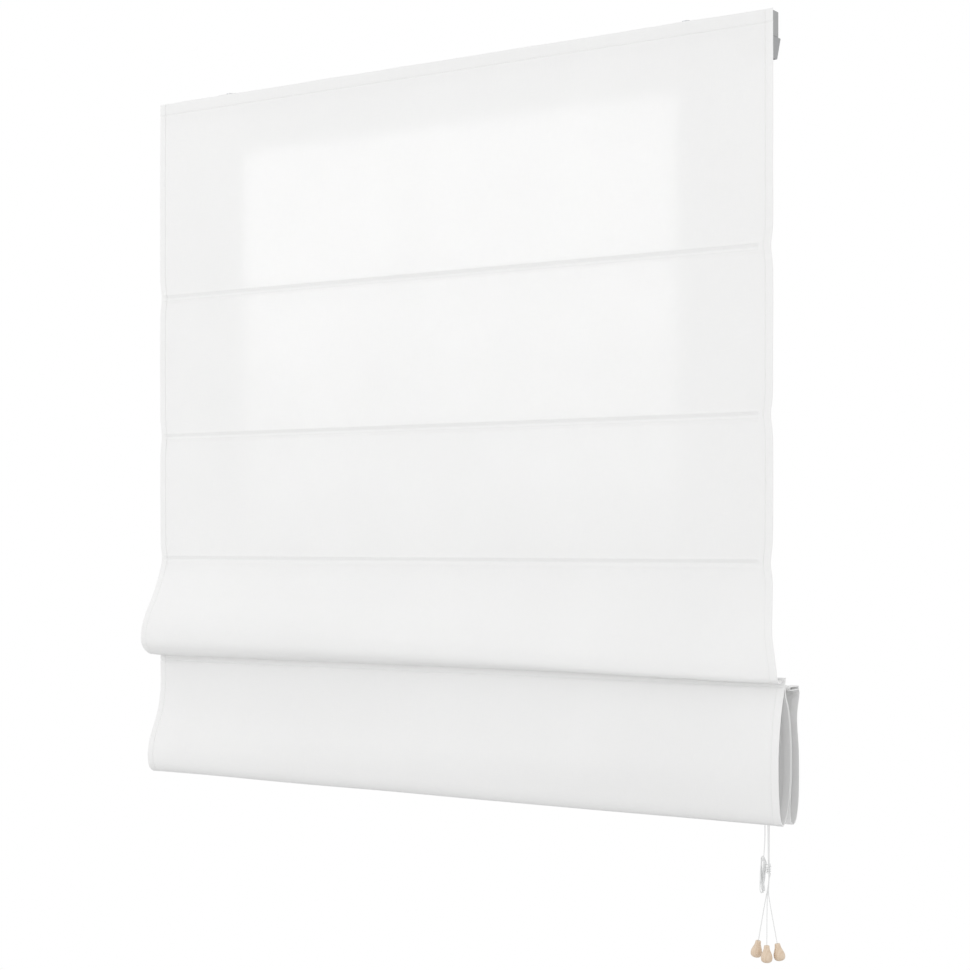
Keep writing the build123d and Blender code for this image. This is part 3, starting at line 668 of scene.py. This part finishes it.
def sleeve_round_bar():
    """The bottom hem's own turn round the flat bar, from the back of the second loop."""
    y0, y1, z0, z1 = BAR_LOW.y - 0.0007, BAR_HIGH.y + 0.0007, BAR_LOW.z - 0.0007, BAR_HIGH.z + 0.0007
    return [(y1 + 0.0006, z0 - 0.0006), (y1 + 0.0003, (z0 + z1) / 2), (y1 - 0.0004, z1), (y1 - 0.004, z1 + 0.0002),
            ((y0 + y1) / 2, z1 + 0.0003), (y0 + 0.004, z1 + 0.0002), (y0 + 0.0004, z1), (y0 - 0.0003, (z0 + z1) / 2),
            (y0 + 0.0004, z0), (y0 + 0.004, z0 - 0.0002), ((y0 + y1) / 2, z0 - 0.0003), (y1 - 0.004, z0 - 0.0004)]


def flap_line(x):
    side = x / STACK_HALF
    across = (side + 1) / 2
    forward = 0.002 * ripple(x * 2.7, 3.1, 0.8)
    raised = 0.0085 - 0.0052 * side + 0.0012 * ripple(x * 3.9, 8.2, 0.4)
    points = []
    for left, right, sway, lift in zip(FLAP_LEFT, FLAP_RIGHT, FLAP_SWAY, FLAP_LIFT):
        y, z = (a + (b - a) * across for a, b in zip(left, right))
        soft = 0.0026 * ripple(x * 5.5, z * 9, 5.1) * sway * step(abs(z - FLAP_LEFT[0][1]), 0.02, 0.09)
        points.append((y + forward * sway + soft, z + raised * lift))
    return Profile(points)


def rear_line(x):
    side = x / STACK_HALF
    points = []
    raised = 0.0075 - 0.0050 * side
    for (y, z), sway, lift in zip(BACK_LOOP, BACK_SWAY, BACK_LIFT):
        points.append((y + (0.0015 * ripple(x * 3.3, z * 7, 9.4) - 0.0005 * side) * sway, z + raised * lift))
    return Profile(points + sleeve_round_bar(), 8)


LINES = {}


def stack_spot(kind, x, share):
    key = (kind, round(x, 5))
    if key not in LINES:
        LINES[key] = (flap_line if kind == "flap" else rear_line)(round(x, 5))
    y, z = LINES[key].at(share)
    inside = STACK_HALF - abs(x)
    frayed = 0.0012 * (x / STACK_HALF) * ripple(z * 9, share * 3, 6.6) * step(abs(x), 0.52, 0.61)
    narrow = 0.002 * (x / STACK_HALF) * bell(share - 0.55, 0.35) * step(abs(x), 0.3, 0.61)
    if kind == "flap":
        narrow -= 0.0026 * bell(share, 0.05) * step(x, 0.45, 0.6)
    if kind == "flap" and share < 0.5:
        y += 0.0004 * bell(inside - 0.0124, 0.0011)
        y += 0.0007 * bell(z - (FLAP_ROD[1] - 0.0125), 0.0014)
        y -= 0.0005 * bell(z - (FLAP_ROD[1] - 0.0085), 0.0028)
        y -= 0.0005 * bell(z - (FLAP_ROD[1] - 0.0165), 0.0028)
    longer = 0.003 * step(x, 0.42, 0.61)
    return Vector((x + frayed - narrow + longer, y, z))


# ---------------------------------------------------------------- stitches
def one_stitch():
    """A single stitch lying along X, modelled once: a small stretched ball."""
    deselect()
    bpy.ops.mesh.primitive_uv_sphere_add(segments=6, ring_count=4, radius=1.0)
    ball = bpy.context.object
    bpy.ops.object.mode_set(mode="EDIT")
    bpy.ops.mesh.select_all(action="SELECT")
    bpy.ops.transform.rotate(value=math.pi / 2, orient_axis="Y", center_override=(0, 0, 0))
    bpy.ops.transform.resize(value=(0.00125, 0.00026, 0.00022), center_override=(0, 0, 0))
    bpy.ops.object.mode_set(mode="OBJECT")
    points = [v.co.copy() for v in ball.data.vertices]
    faces = [list(p.vertices) for p in ball.data.polygons]
    mesh = ball.data
    bpy.data.objects.remove(ball)
    bpy.data.meshes.remove(mesh)
    return points, faces


def sewn_rows(name, tracks):
    """Rows of stitches. A track is a list of (point, way, outward) along the surface."""
    shape, sides = one_stitch()
    points, faces = [], []
    for track in tracks:
        for place, way, outward in track:
            way = way.normalized()
            outward = outward.normalized()
            turn = Matrix((way, outward.cross(way), outward)).transposed()
            start = len(points)
            points += [place + turn @ p for p in shape]
            faces += [[start + k for k in face] for face in sides]
    piece = new_piece(name, points, faces)
    wear(piece, finish_named("sewing"))
    return piece


def track_on(spot, thick, spots):
    """Stitch places on a sheet's front from (x, share) pairs."""
    track = []
    for x, share in spots:
        here = spot(x, share)
        side = 0.0015 if x < 0 else -0.0015
        across = (spot(x + side, share) - here) * (1 if side > 0 else -1)
        down = (spot(x, min(1, share + 0.004)) - spot(x, max(0, share - 0.004)))
        outward = down.cross(across).normalized()
        track.append((here + outward * (thick(x) / 2 + STITCH_LIFT), (across, down), outward))
    return track


def rows_across(spot, thick, share, x0, x1):
    count = int((x1 - x0) / STITCH_PITCH)
    spots = [(x0 + STITCH_PITCH * k, share) for k in range(count + 1)]
    return [(p, w[0], n) for p, w, n in track_on(spot, thick, spots)]


def rows_down(spot, thick, x, share0, share1, long):
    count = int((share1 - share0) * long / STITCH_PITCH)
    spots = [(x, share0 + (share1 - share0) * k / max(1, count)) for k in range(count + 1)]
    return [(p, w[1], n) for p, w, n in track_on(spot, thick, spots)]


# ---------------------------------------------------------------- cords
def routed(name, points, fine=8):
    """The smooth centreline of a cord: a NURBS spline on the route's own points, read as points."""
    curve = bpy.data.curves.new(name + "_route", "CURVE")
    curve.dimensions = "3D"
    curve.resolution_u = fine
    spline = curve.splines.new("NURBS")
    spline.points.add(len(points) - 1)
    for slot, point in zip(spline.points, points):
        slot.co = (*point, 1)
    spline.order_u = 3
    spline.use_endpoint_u = True
    holder = bpy.data.objects.new(name + "_route", curve)
    bpy.context.scene.collection.objects.link(holder)
    bpy.context.view_layer.update()
    line = bpy.data.meshes.new_from_object(holder)
    path = [v.co.copy() for v in line.vertices]
    bpy.data.meshes.remove(line)
    bpy.data.objects.remove(holder)
    bpy.data.curves.remove(curve)
    return path


def cord_tube(name, path, diameter):
    """A round cord along a centreline, closed at both ends."""
    sides = 8
    points, flat, faces = [], [], []
    side, run = None, 0.0
    for k, place in enumerate(path):
        way = (path[min(k + 1, len(path) - 1)] - path[max(k - 1, 0)]).normalized()
        if side is None:
            side = way.orthogonal().normalized()
        side = (side - way * side.dot(way)).normalized()
        other = way.cross(side)
        if k:
            run += (place - path[k - 1]).length
        for n in range(sides):
            angle = math.tau * n / sides
            points.append(place + (side * math.cos(angle) + other * math.sin(angle)) * diameter / 2)
            flat.append((n / sides, run))
        if k:
            a, b = (k - 1) * sides, k * sides
            for n in range(sides):
                m = (n + 1) % sides
                faces.append([a + n, a + m, b + m, b + n])
    faces.append(list(reversed(range(sides))))
    last = (len(path) - 1) * sides
    faces.append([last + n for n in range(sides)])
    piece = new_piece(name, points, faces)
    layer = piece.data.uv_layers.new(name="Flat")
    for polygon in piece.data.polygons:
        wraps = max(flat[v][0] for v in polygon.vertices) > 0.8 and min(flat[v][0] for v in polygon.vertices) < 0.1
        for index, vertex in zip(polygon.loop_indices, polygon.vertices):
            u, v = flat[vertex]
            layer.data[index].uv = (u + 1 if wraps and u < 0.1 else u, v)
    wear(piece, finish_named("cord_cotton"))
    return piece


def length_of(path):
    return sum((b - a).length for a, b in zip(path, path[1:]))


# ---------------------------------------------------------------- sewing
def hemmed(half):
    """The side hem's inner edge on cloth this wide each way, and the cloth's thickness at any x."""
    cloth = bpy.context.scene.blind_cloth
    hem_line = half - cloth.hem

    def thick(x):
        return CLOTH_THICK + (cloth.hem_thick - CLOTH_THICK) * step(abs(x), hem_line - HEM_EDGE, hem_line + HEM_EDGE)
    return hem_line, thick


def columns_across(half, gap, hem_line, fine, *more):
    """Where the sheet's columns stand, closer at the hems and edges."""
    return places(-half, half, gap, (-hem_line, 0.003, fine), (hem_line, 0.003, fine), *more,
                  (-half, 0.006, 0.003), (half, 0.006, 0.003))


def sew_on(piece, body):
    """Gives a piece of cloth its cotton, body and slot."""
    wear(piece, finish_named("cotton_cloth"))
    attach(piece, body)


# ---------------------------------------------------------------- operators
class BLIND_OT_panel(bpy.types.Operator):
    """Sews the flat upper part of the cloth, with its heading, hems, tucks and rod pockets"""
    bl_idname = "blind.panel"
    bl_label = "Upper cloth"

    def execute(self, context):
        cloth = context.scene.blind_cloth
        long = PANEL_TOP - PANEL_FOOT
        seams = [PANEL_TOP - z for z in SEAM_Z]
        drops = places(0, long, 0.010, (0.0, 0.006, 0.003), (HEADING_BAND, 0.004, 0.001),
                       *[(at, 0.0105, 0.0007) for at in seams])
        rows = [min(1.0, drop / long) for drop in drops]
        hem_line, thick = hemmed(PANEL_HALF)
        columns = columns_across(PANEL_HALF, 0.0078, hem_line, 0.0006, (POCKET_X[1], 0.006, 0.002))
        panel = cloth_shell("upper_panel", panel_spot, columns, rows, thick, long)
        sew_on(panel, "root")
        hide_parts("upper_cloth")
        with_it = []
        for number, z in enumerate(SEAM_Z, 1):
            neck = ROD_Y - CHANNEL_OUTER - (CLOTH_MID + cloth.tuck_deep * 0.8)
            pocket = sewn_channel("rod_pocket_%d" % number, (ROD_Y, z), (-1, 0), neck, 0.0008)
            sew_on(pocket, "root")
            casing = cloth_shell("rod_casing_%d" % number, casing_spot(z), places(POCKET_X[0], POCKET_X[1], 0.010),
                                 [k / 10 for k in range(11)], lambda x: CLOTH_THICK, 2 * CASING_HALF)
            sew_on(casing, "root")
            with_it += [pocket, casing]
        tracks = [rows_across(panel_spot, thick, HEADING_BAND / long, -PANEL_HALF + 0.004, PANEL_HALF - 0.004)]
        for z in SEAM_Z:
            for side in (-1, 1):
                share = (PANEL_TOP - z + side * (CASING_HALF - 0.001)) / long
                if share < 1.0:
                    tracks.append(rows_across(panel_spot, thick, share, POCKET_X[0], POCKET_X[1]))
        for x in (-hem_line - HEM_EDGE, hem_line + HEM_EDGE):
            tracks.append(rows_down(panel_spot, thick, x, 0.004, 0.997, long))
        stitches = sewn_rows("panel_stitches", tracks)
        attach(stitches, "root")
        return {"FINISHED"}


class BLIND_OT_belly(bpy.types.Operator):
    """Hangs the section that bellies forward over the folded stack"""
    bl_idname = "blind.belly"
    bl_label = "Hanging section"

    def execute(self, context):
        long = belly(0.0).long
        rows = [f / long for f in places(0, long, 0.0045, (0.0, 0.006, 0.0015))]
        rows[-1] = 1.0
        hem_line, thick = hemmed(PANEL_HALF)
        columns = columns_across(PANEL_HALF, 0.010, hem_line, 0.0006, (POCKET_X[1], 0.006, 0.002))
        section = cloth_shell("hanging_section", bulge_spot, columns, rows, thick, long)
        wear(section, finish_named("cotton_cloth"))
        stitches = sewn_rows("hanging_section_stitches",
                             [rows_down(bulge_spot, thick, x, 0.01, 0.97, long)
                              for x in (-hem_line - HEM_EDGE, hem_line + HEM_EDGE)])
        for piece in (section, stitches):
            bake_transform(piece)
        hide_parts("bulge_cloth")
        return {"FINISHED"}


class BLIND_OT_stack(bpy.types.Operator):
    """Folds the lower cloth into its two hanging loops, with the flap in front and the bar in its hem"""
    bl_idname = "blind.stack"
    bl_label = "Folded stack"

    def execute(self, context):
        hem_line, thick = hemmed(STACK_HALF)
        columns = columns_across(STACK_HALF, 0.012, hem_line, 0.0008)
        for name, kind in (("front_flap", "flap"), ("rear_fold", "rear")):
            line = flap_line(0.0) if kind == "flap" else rear_line(0.0)
            close = [(0.012, 0.006, 0.001)] if kind == "flap" else [(line.long - 0.038, 0.036, 0.002)]
            shares = [f / line.long for f in places(0, line.long, 0.0065, *close)]
            shares[-1] = 1.0

            def spot(x, share, kind=kind):
                return stack_spot(kind, x, share)
            sheet = cloth_shell(name, spot, columns, shares, thick, line.long)
            sew_on(sheet, "stack")
            if kind == "flap":
                neck = FLAP_ROD[0] - CHANNEL_OUTER - FLAP_LEFT[0][0]
                pocket = sewn_channel("rod_pocket_4", FLAP_ROD, (-1, 0), neck, 0.0008)
                x0 = hem_line + HEM_EDGE
                tracks = [rows_across(spot, thick, 0.0139 / line.long, -STACK_HALF + 0.004, STACK_HALF - 0.004)]
                tracks += [rows_down(spot, thick, x, 0.006, 0.46, line.long) for x in (-x0, x0)]
                stitches = sewn_rows("flap_stitches", tracks)
                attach(stitches, "stack")
            else:
                pocket = sewn_channel("rod_pocket_5", SECOND_ROD, (0, -1), 0.0004, 0.0011)
            sew_on(pocket, "stack")
        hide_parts("stack_cloth")
        return {"FINISHED"}


class BLIND_OT_lift_cords(bpy.types.Operator):
    """Runs the three lift cords down behind the cloth, through the rings to the bottom bar"""
    bl_idname = "blind.lift_cords"
    bl_label = "Lift cords"

    def execute(self, context):
        cords = context.scene.blind_cords
        for number, x in enumerate(LIFT_X, 1):
            low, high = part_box("lift_cord_%d" % number)
            points = [Vector((x, CORD_LINE_Y, high.z)), Vector((x, CORD_LINE_Y, -0.30)),
                      Vector((x, CORD_LINE_Y, -0.65)), Vector((x, CORD_LINE_Y, low.z))]
            path = routed("lift_line_%d" % number, points, 40)
            cord = cord_tube("lift_line_%d" % number, path, cords.diameter)
            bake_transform(cord)
            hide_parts("lift_cord_%d" % number)
            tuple(path[0])
            length_of(path)
        return {"FINISHED"}


ACORN_PROFILE = ((0.0, 0.0036), (0.0006, 0.0042), (0.0034, 0.0043), (0.0062, 0.0048), (0.0092, 0.0059),
                 (0.0125, 0.0074), (0.0158, 0.0085), (0.0190, 0.0089), (0.0218, 0.0086), (0.0241, 0.0074),
                 (0.0256, 0.0054), (0.0263, 0.0028))
ACORN_PLACE = ((-0.0165, 0.004, -0.0728), (0.003, -0.008, -0.0758), (0.0145, 0.004, -0.0738))
ACORN_TALL, ACORN_BORE, ACORN_DEEP = 0.0265, 0.00095, 0.012


def acorn_line(place):
    """Where an acorn's cord leaves the knot, and the acorn's top."""
    start = Vector((PULL_X + place[0] * 0.1, PULL_Y + place[1] * 0.1, KNOT_FOOT - 0.0003))
    return start, Vector((PULL_X + place[0], PULL_Y + place[1], KNOT_FOOT + place[2]))


class BLIND_OT_acorns(bpy.types.Operator):
    """Turns one wooden acorn and hangs a copy of it on each pull cord"""
    bl_idname = "blind.acorns"
    bl_label = "Acorns"

    def execute(self, context):
        deselect()
        first = ACORN_PROFILE[0]
        bpy.ops.mesh.primitive_circle_add(vertices=32, radius=ACORN_BORE)
        blank = bpy.context.object
        blank.data.transform(Matrix.Translation((0, 0, -ACORN_DEEP)))
        bpy.ops.object.mode_set(mode="EDIT")
        bpy.ops.mesh.select_all(action="SELECT")
        bore = [(ACORN_DEEP, ACORN_BORE), (0.0006, ACORN_BORE), (0.0, ACORN_BORE * 1.5)]
        depth, radius = bore[0]
        for next_depth, next_radius in bore[1:] + [(first[0], first[1] * 0.9)] + list(ACORN_PROFILE[1:]):
            bpy.ops.mesh.extrude_edges_move(TRANSFORM_OT_translate={"value": (0, 0, depth - next_depth)})
            grow = next_radius / radius
            bpy.ops.transform.resize(value=(grow, grow, 1), center_override=(0, 0, -next_depth))
            depth, radius = next_depth, next_radius
        bpy.ops.mesh.extrude_edges_move(TRANSFORM_OT_translate={"value": (0, 0, depth - ACORN_TALL)})
        bpy.ops.mesh.merge(type="CENTER")
        bpy.ops.mesh.select_all(action="SELECT")
        bpy.ops.mesh.normals_make_consistent(inside=False)
        bpy.ops.object.mode_set(mode="OBJECT")
        smooth = blank.modifiers.new("smooth", "SUBSURF")
        smooth.levels = smooth.render_levels = 1
        pick(blank)
        bpy.ops.object.modifier_apply(modifier=smooth.name)
        bpy.ops.object.shade_smooth()
        for number, place in enumerate(ACORN_PLACE, 1):
            start, end = acorn_line(place)
            acorn = blank.copy()
            acorn.data = blank.data.copy()
            acorn.name = "wooden_acorn_%d" % number
            context.scene.collection.objects.link(acorn)
            lean = (start - end).to_track_quat("Z", "Y").to_matrix().to_4x4()
            acorn.data.transform(Matrix.Translation(end) @ lean)
            acorn.matrix_world = Matrix.Identity(4)
            wear(acorn, finish_named("beech_wood"))
            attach(acorn, "pulls")
            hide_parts("acorn_%d" % number)
        bpy.data.meshes.remove(blank.data)
        return {"FINISHED"}


LANES = (-0.0805, -0.077, -0.0735)   # where the pull cords leave the lock, in Y
PULL_BEND_Z = -0.680                 # above this they hang clear of the raised stack


def hank_turns(turns):
    """The spare cord's lengthwise turns, twisted about each other: over the top fold, down, round and up again."""
    fold, waist = 0.0050, 0.0021
    points = []
    for turn in range(turns):
        high = HANK_TOP - 0.0008 - 0.0022 * ((turn * 2 + 1) % 3)
        low = KNOT_FOOT + 0.0010 + 0.0026 * ((turn * 2) % 3)
        middle = Vector((PULL_X - 0.0078 + 0.0006 * (turn % 2), PULL_Y - 0.0030 + 0.0013 * turn, 0))
        start = 2.15 + 0.16 * (turn - (turns - 1) / 2)

        def leg(side, z, out):
            angle = start + math.pi * (high - z) / (high - low)
            return middle + Vector((math.cos(angle) * side * out, math.sin(angle) * side * out, z))
        for k in range(5):
            angle = math.pi * k / 4
            points.append(leg(math.cos(angle), high - fold + fold * math.sin(angle), fold))
        for k in range(1, 4):
            points.append(leg(-1, high - fold - (high - low - 2 * fold) * k / 4, waist + 0.0004 * abs(k - 2)))
        for k in range(5):
            angle = math.pi * k / 4
            points.append(leg(-math.cos(angle), low + fold - fold * math.sin(angle), fold))
        for k in range(1, 4):
            points.append(leg(1, low + fold + (high - low - 2 * fold) * k / 4, waist + 0.0004 * abs(k - 2)))
    return points


# from the last turn's end, over the top of the hank and down to the knot
HANK_EXIT = ((0.0004, 0, -0.004), (0.0024, 0.0003, 0.004), (0.0070, 0.0006, 0.0075), (0.0116, 0.0004, 0.004),
             (0.0128, 0.0002, -0.0035))


class BLIND_OT_pull_cords(bpy.types.Operator):
    """Drops the three pull cords from the lock, through the hank and knot, to their acorns"""
    bl_idname = "blind.pull_cords"
    bl_label = "Pull cords"

    def execute(self, context):
        cords = context.scene.blind_cords
        tied = []
        for number, (lane, place) in enumerate(zip(LANES, ACORN_PLACE), 1):
            spread = (number - 2) * 0.003
            start, end = acorn_line(place)
            points = [Vector((PULL_X, lane, LOCK_FOOT)), Vector((PULL_X, lane + 0.0015, LOCK_FOOT - 0.06)),
                      Vector((PULL_X + spread, PULL_Y, PULL_BEND_Z)),
                      Vector((PULL_X + spread * 0.6 + 0.001, PULL_Y - 0.0012 + 0.0012 * (number - 1), HANK_TOP))]
            if number == 1:
                turns = hank_turns(cords.turns)
                points[-1] = Vector((PULL_X - 0.0034, PULL_Y, HANK_TOP + 0.034))
                points.append(Vector((PULL_X - 0.0042, PULL_Y - 0.0005, HANK_TOP + 0.012)))
                points += turns[5:-1]
                points += [turns[-1] + Vector(away) for away in HANK_EXIT]
                points.append(Vector((PULL_X + 0.0030, PULL_Y + 0.0012, HANK_TOP - 0.024)))
                points.append(Vector((PULL_X + 0.0022, PULL_Y + 0.0012, HANK_TOP - 0.036)))
            else:
                points.append(Vector((PULL_X + 0.0022, PULL_Y - 0.001 + 0.001 * number, HANK_TOP - 0.020)))
                points.append(Vector((PULL_X + 0.0024, PULL_Y - 0.001 + 0.001 * number, HANK_TOP - 0.036)))
            into = (end - start).normalized()
            points += [start - into * 0.004 + Vector((0.001, 0, 0)), start + into * 0.008, end - into * 0.010,
                       end + into * 0.008]
            path = routed("pull_line_%d" % number, points, 10)
            cord = cord_tube("pull_line_%d" % number, path, cords.diameter)
            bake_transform(cord)
            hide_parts("pull_cord_%d" % number, "acorn_cord_%d" % number)
            tied.append((cord, path))
        wrap = []
        for part in range(40):
            angle = math.tau * part / 13
            rise = part / 39
            wrap.append(Vector((PULL_X + 0.0022 + 0.0034 * math.cos(angle),
                                PULL_Y + 0.0004 + 0.0034 * math.sin(angle), HANK_TOP - 0.016 - 0.0100 * rise)))
        wrap = ([Vector((PULL_X + 0.0068, PULL_Y - 0.004, HANK_TOP - 0.0105)),
                 Vector((PULL_X + 0.0062, PULL_Y - 0.003, HANK_TOP - 0.014))] + wrap
                + [Vector((PULL_X + 0.0064, PULL_Y - 0.004, HANK_TOP - 0.029)),
                   Vector((PULL_X + 0.0058, PULL_Y - 0.006, HANK_TOP - 0.034))])
        line = routed("tying_knot", wrap, 6)
        knot = cord_tube("tying_knot", line, cords.diameter)
        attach(knot, "pulls")
        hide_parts("cord_knot")
        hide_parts("cord_hank")
        for number, (cord, path) in enumerate(tied, 1):
            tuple(path[0])
            length_of(path)
        return {"FINISHED"}


class BLIND_OT_hardware(bpy.types.Operator):
    """Gives the rail, brackets, lock, rods, rings and bar their finishes"""
    bl_idname = "blind.hardware"
    bl_label = "Hardware finishes"

    def execute(self, context):
        slots = {row["node"]: row["material_slot"] for row in frame["record"]["subparts"]}
        for name, node in frame["nodes"].items():
            slot = slots[name]
            if name.startswith("rail_cord"):
                slot = "cord_in_rail"
            material = finish_named(slot)
            if not node.material_slots:
                node.data.materials.append(material)
            for held in node.material_slots:
                held.material = material
        return {"FINISHED"}


WINDOW_LEFT, WINDOW_RIGHT = -0.404, 0.442
# each band's distance behind the cloth, top, foot and share of the power
WINDOW_BANDS = ((0.013, -0.083, SEAM_Z[0] + 0.002, 1.0),
                (0.018, SEAM_Z[0] - 0.002, (SEAM_Z[0] + SEAM_Z[1]) / 2, 0.86),
                (0.018, (SEAM_Z[0] + SEAM_Z[1]) / 2, SEAM_Z[1] + 0.004, 0.64),
                (0.020, SEAM_Z[1] - 0.004, (SEAM_Z[1] + SEAM_Z[2]) / 2, 0.38),
                (0.020, (SEAM_Z[1] + SEAM_Z[2]) / 2, SEAM_Z[2] + 0.03, 0.18))


class BLIND_OT_stage(bpy.types.Operator):
    """Sets the floor, the soft light and the camera"""
    bl_idname = "blind.stage"
    bl_label = "Stage"

    def execute(self, context):
        studio = context.scene.blind_studio
        deselect()
        bpy.ops.mesh.primitive_plane_add(size=1, location=(0, -0.6, -2.3))
        floor = context.object
        floor.name = "floor"
        floor.data.transform(Matrix.Diagonal((5.0, 5.6, 1, 1)))
        f = Finish("pale_floor")
        where = f.tree.nodes.new("ShaderNodeTexCoord").outputs["Object"]
        cloud = f.stretched(where, (1.2, 1.2, 1.2), 3.0)
        wear(floor, f.out(f.node("BsdfPrincipled", Base_Color=f.between(cloud, (0.66, 0.66, 0.66), (0.70, 0.70, 0.70)),
                                 Roughness=0.9)))
        world = bpy.data.worlds.new("studio")
        context.scene.world = world
        world.use_nodes = True
        tree = world.node_tree
        tree.nodes.clear()
        back = tree.nodes.new("ShaderNodeBackground")
        back.inputs["Color"].default_value = (1, 1, 1, 1)
        back.inputs["Strength"].default_value = studio.sky
        tree.links.new(back.outputs[0], tree.nodes.new("ShaderNodeOutputWorld").inputs["Surface"])
        self.soft_light("key_light", (-2.1, -3.4, 0.3), (0.0, -0.1, -0.7), 2.6, 2.2, studio.key)
        self.soft_light("fill_light", (2.6, -2.2, -0.3), (0.3, -0.1, -0.9), 2.0, 2.0, studio.fill)
        for number, (near, top, foot, share) in enumerate(WINDOW_BANDS, 1):
            across, tall, middle = WINDOW_RIGHT - WINDOW_LEFT, top - foot, (WINDOW_LEFT + WINDOW_RIGHT) / 2
            self.soft_light("window_light_%d" % number, (middle, CLOTH_MID + near, (top + foot) / 2),
                            (middle, CLOTH_MID, (top + foot) / 2), across, tall,
                            studio.window * share * across * tall)
        lens = bpy.data.cameras.new("view")
        lens.lens, lens.sensor_width = studio.lens, 36.0
        lens.shift_x, lens.shift_y = 0.0, studio.rise
        lens.clip_start, lens.clip_end = 0.05, 60.0
        camera = bpy.data.objects.new("view", lens)
        camera.location = studio.camera
        camera.rotation_euler = (math.pi / 2, 0, studio.turn)
        context.scene.collection.objects.link(camera)
        context.scene.camera = camera
        context.scene.view_settings.view_transform = "Standard"
        return {"FINISHED"}

    @staticmethod
    def soft_light(name, place, aim, wide, tall, power):
        light = bpy.data.lights.new(name, "AREA")
        light.shape, light.size, light.size_y, light.energy = "RECTANGLE", wide, tall, power
        lamp = bpy.data.objects.new(name, light)
        lamp.location = place
        lamp.rotation_euler = (Vector(aim) - Vector(place)).to_track_quat("-Z", "Y").to_euler()
        lamp.visible_camera = False
        bpy.context.scene.collection.objects.link(lamp)


STEPS = (BLIND_OT_panel, BLIND_OT_belly, BLIND_OT_stack, BLIND_OT_lift_cords, BLIND_OT_acorns, BLIND_OT_pull_cords,
         BLIND_OT_hardware, BLIND_OT_stage)


class BLIND_PT_sidebar(bpy.types.Panel):
    """Lists the steps that build the blind"""
    bl_idname = "BLIND_PT_sidebar"
    bl_label = "Roman blind"
    bl_space_type = "VIEW_3D"
    bl_region_type = "UI"
    bl_category = "Blind"

    def draw(self, context):
        for group, settings in SETTINGS:
            box = self.layout.box()
            for name in group.__annotations__:
                box.prop(getattr(context.scene, settings), name)
        for kind in STEPS:
            self.layout.operator(kind.bl_idname)


SETTINGS = ((BlindCloth, "blind_cloth"), (BlindCords, "blind_cords"), (BlindWood, "blind_wood"),
            (BlindStudio, "blind_studio"))
CLASSES = tuple(group for group, name in SETTINGS) + STEPS + (BLIND_PT_sidebar,)


def register():
    for kind in CLASSES:
        bpy.utils.register_class(kind)
    for group, name in SETTINGS:
        setattr(bpy.types.Scene, name, PointerProperty(type=group))


def unregister():
    for group, name in SETTINGS:
        delattr(bpy.types.Scene, name)
    for kind in reversed(CLASSES):
        bpy.utils.unregister_class(kind)


def main():
    register()
    for kind in STEPS:
        family, name = kind.bl_idname.split(".")
        getattr(getattr(bpy.ops, family), name)()


if __name__ == "__main__":
    main()
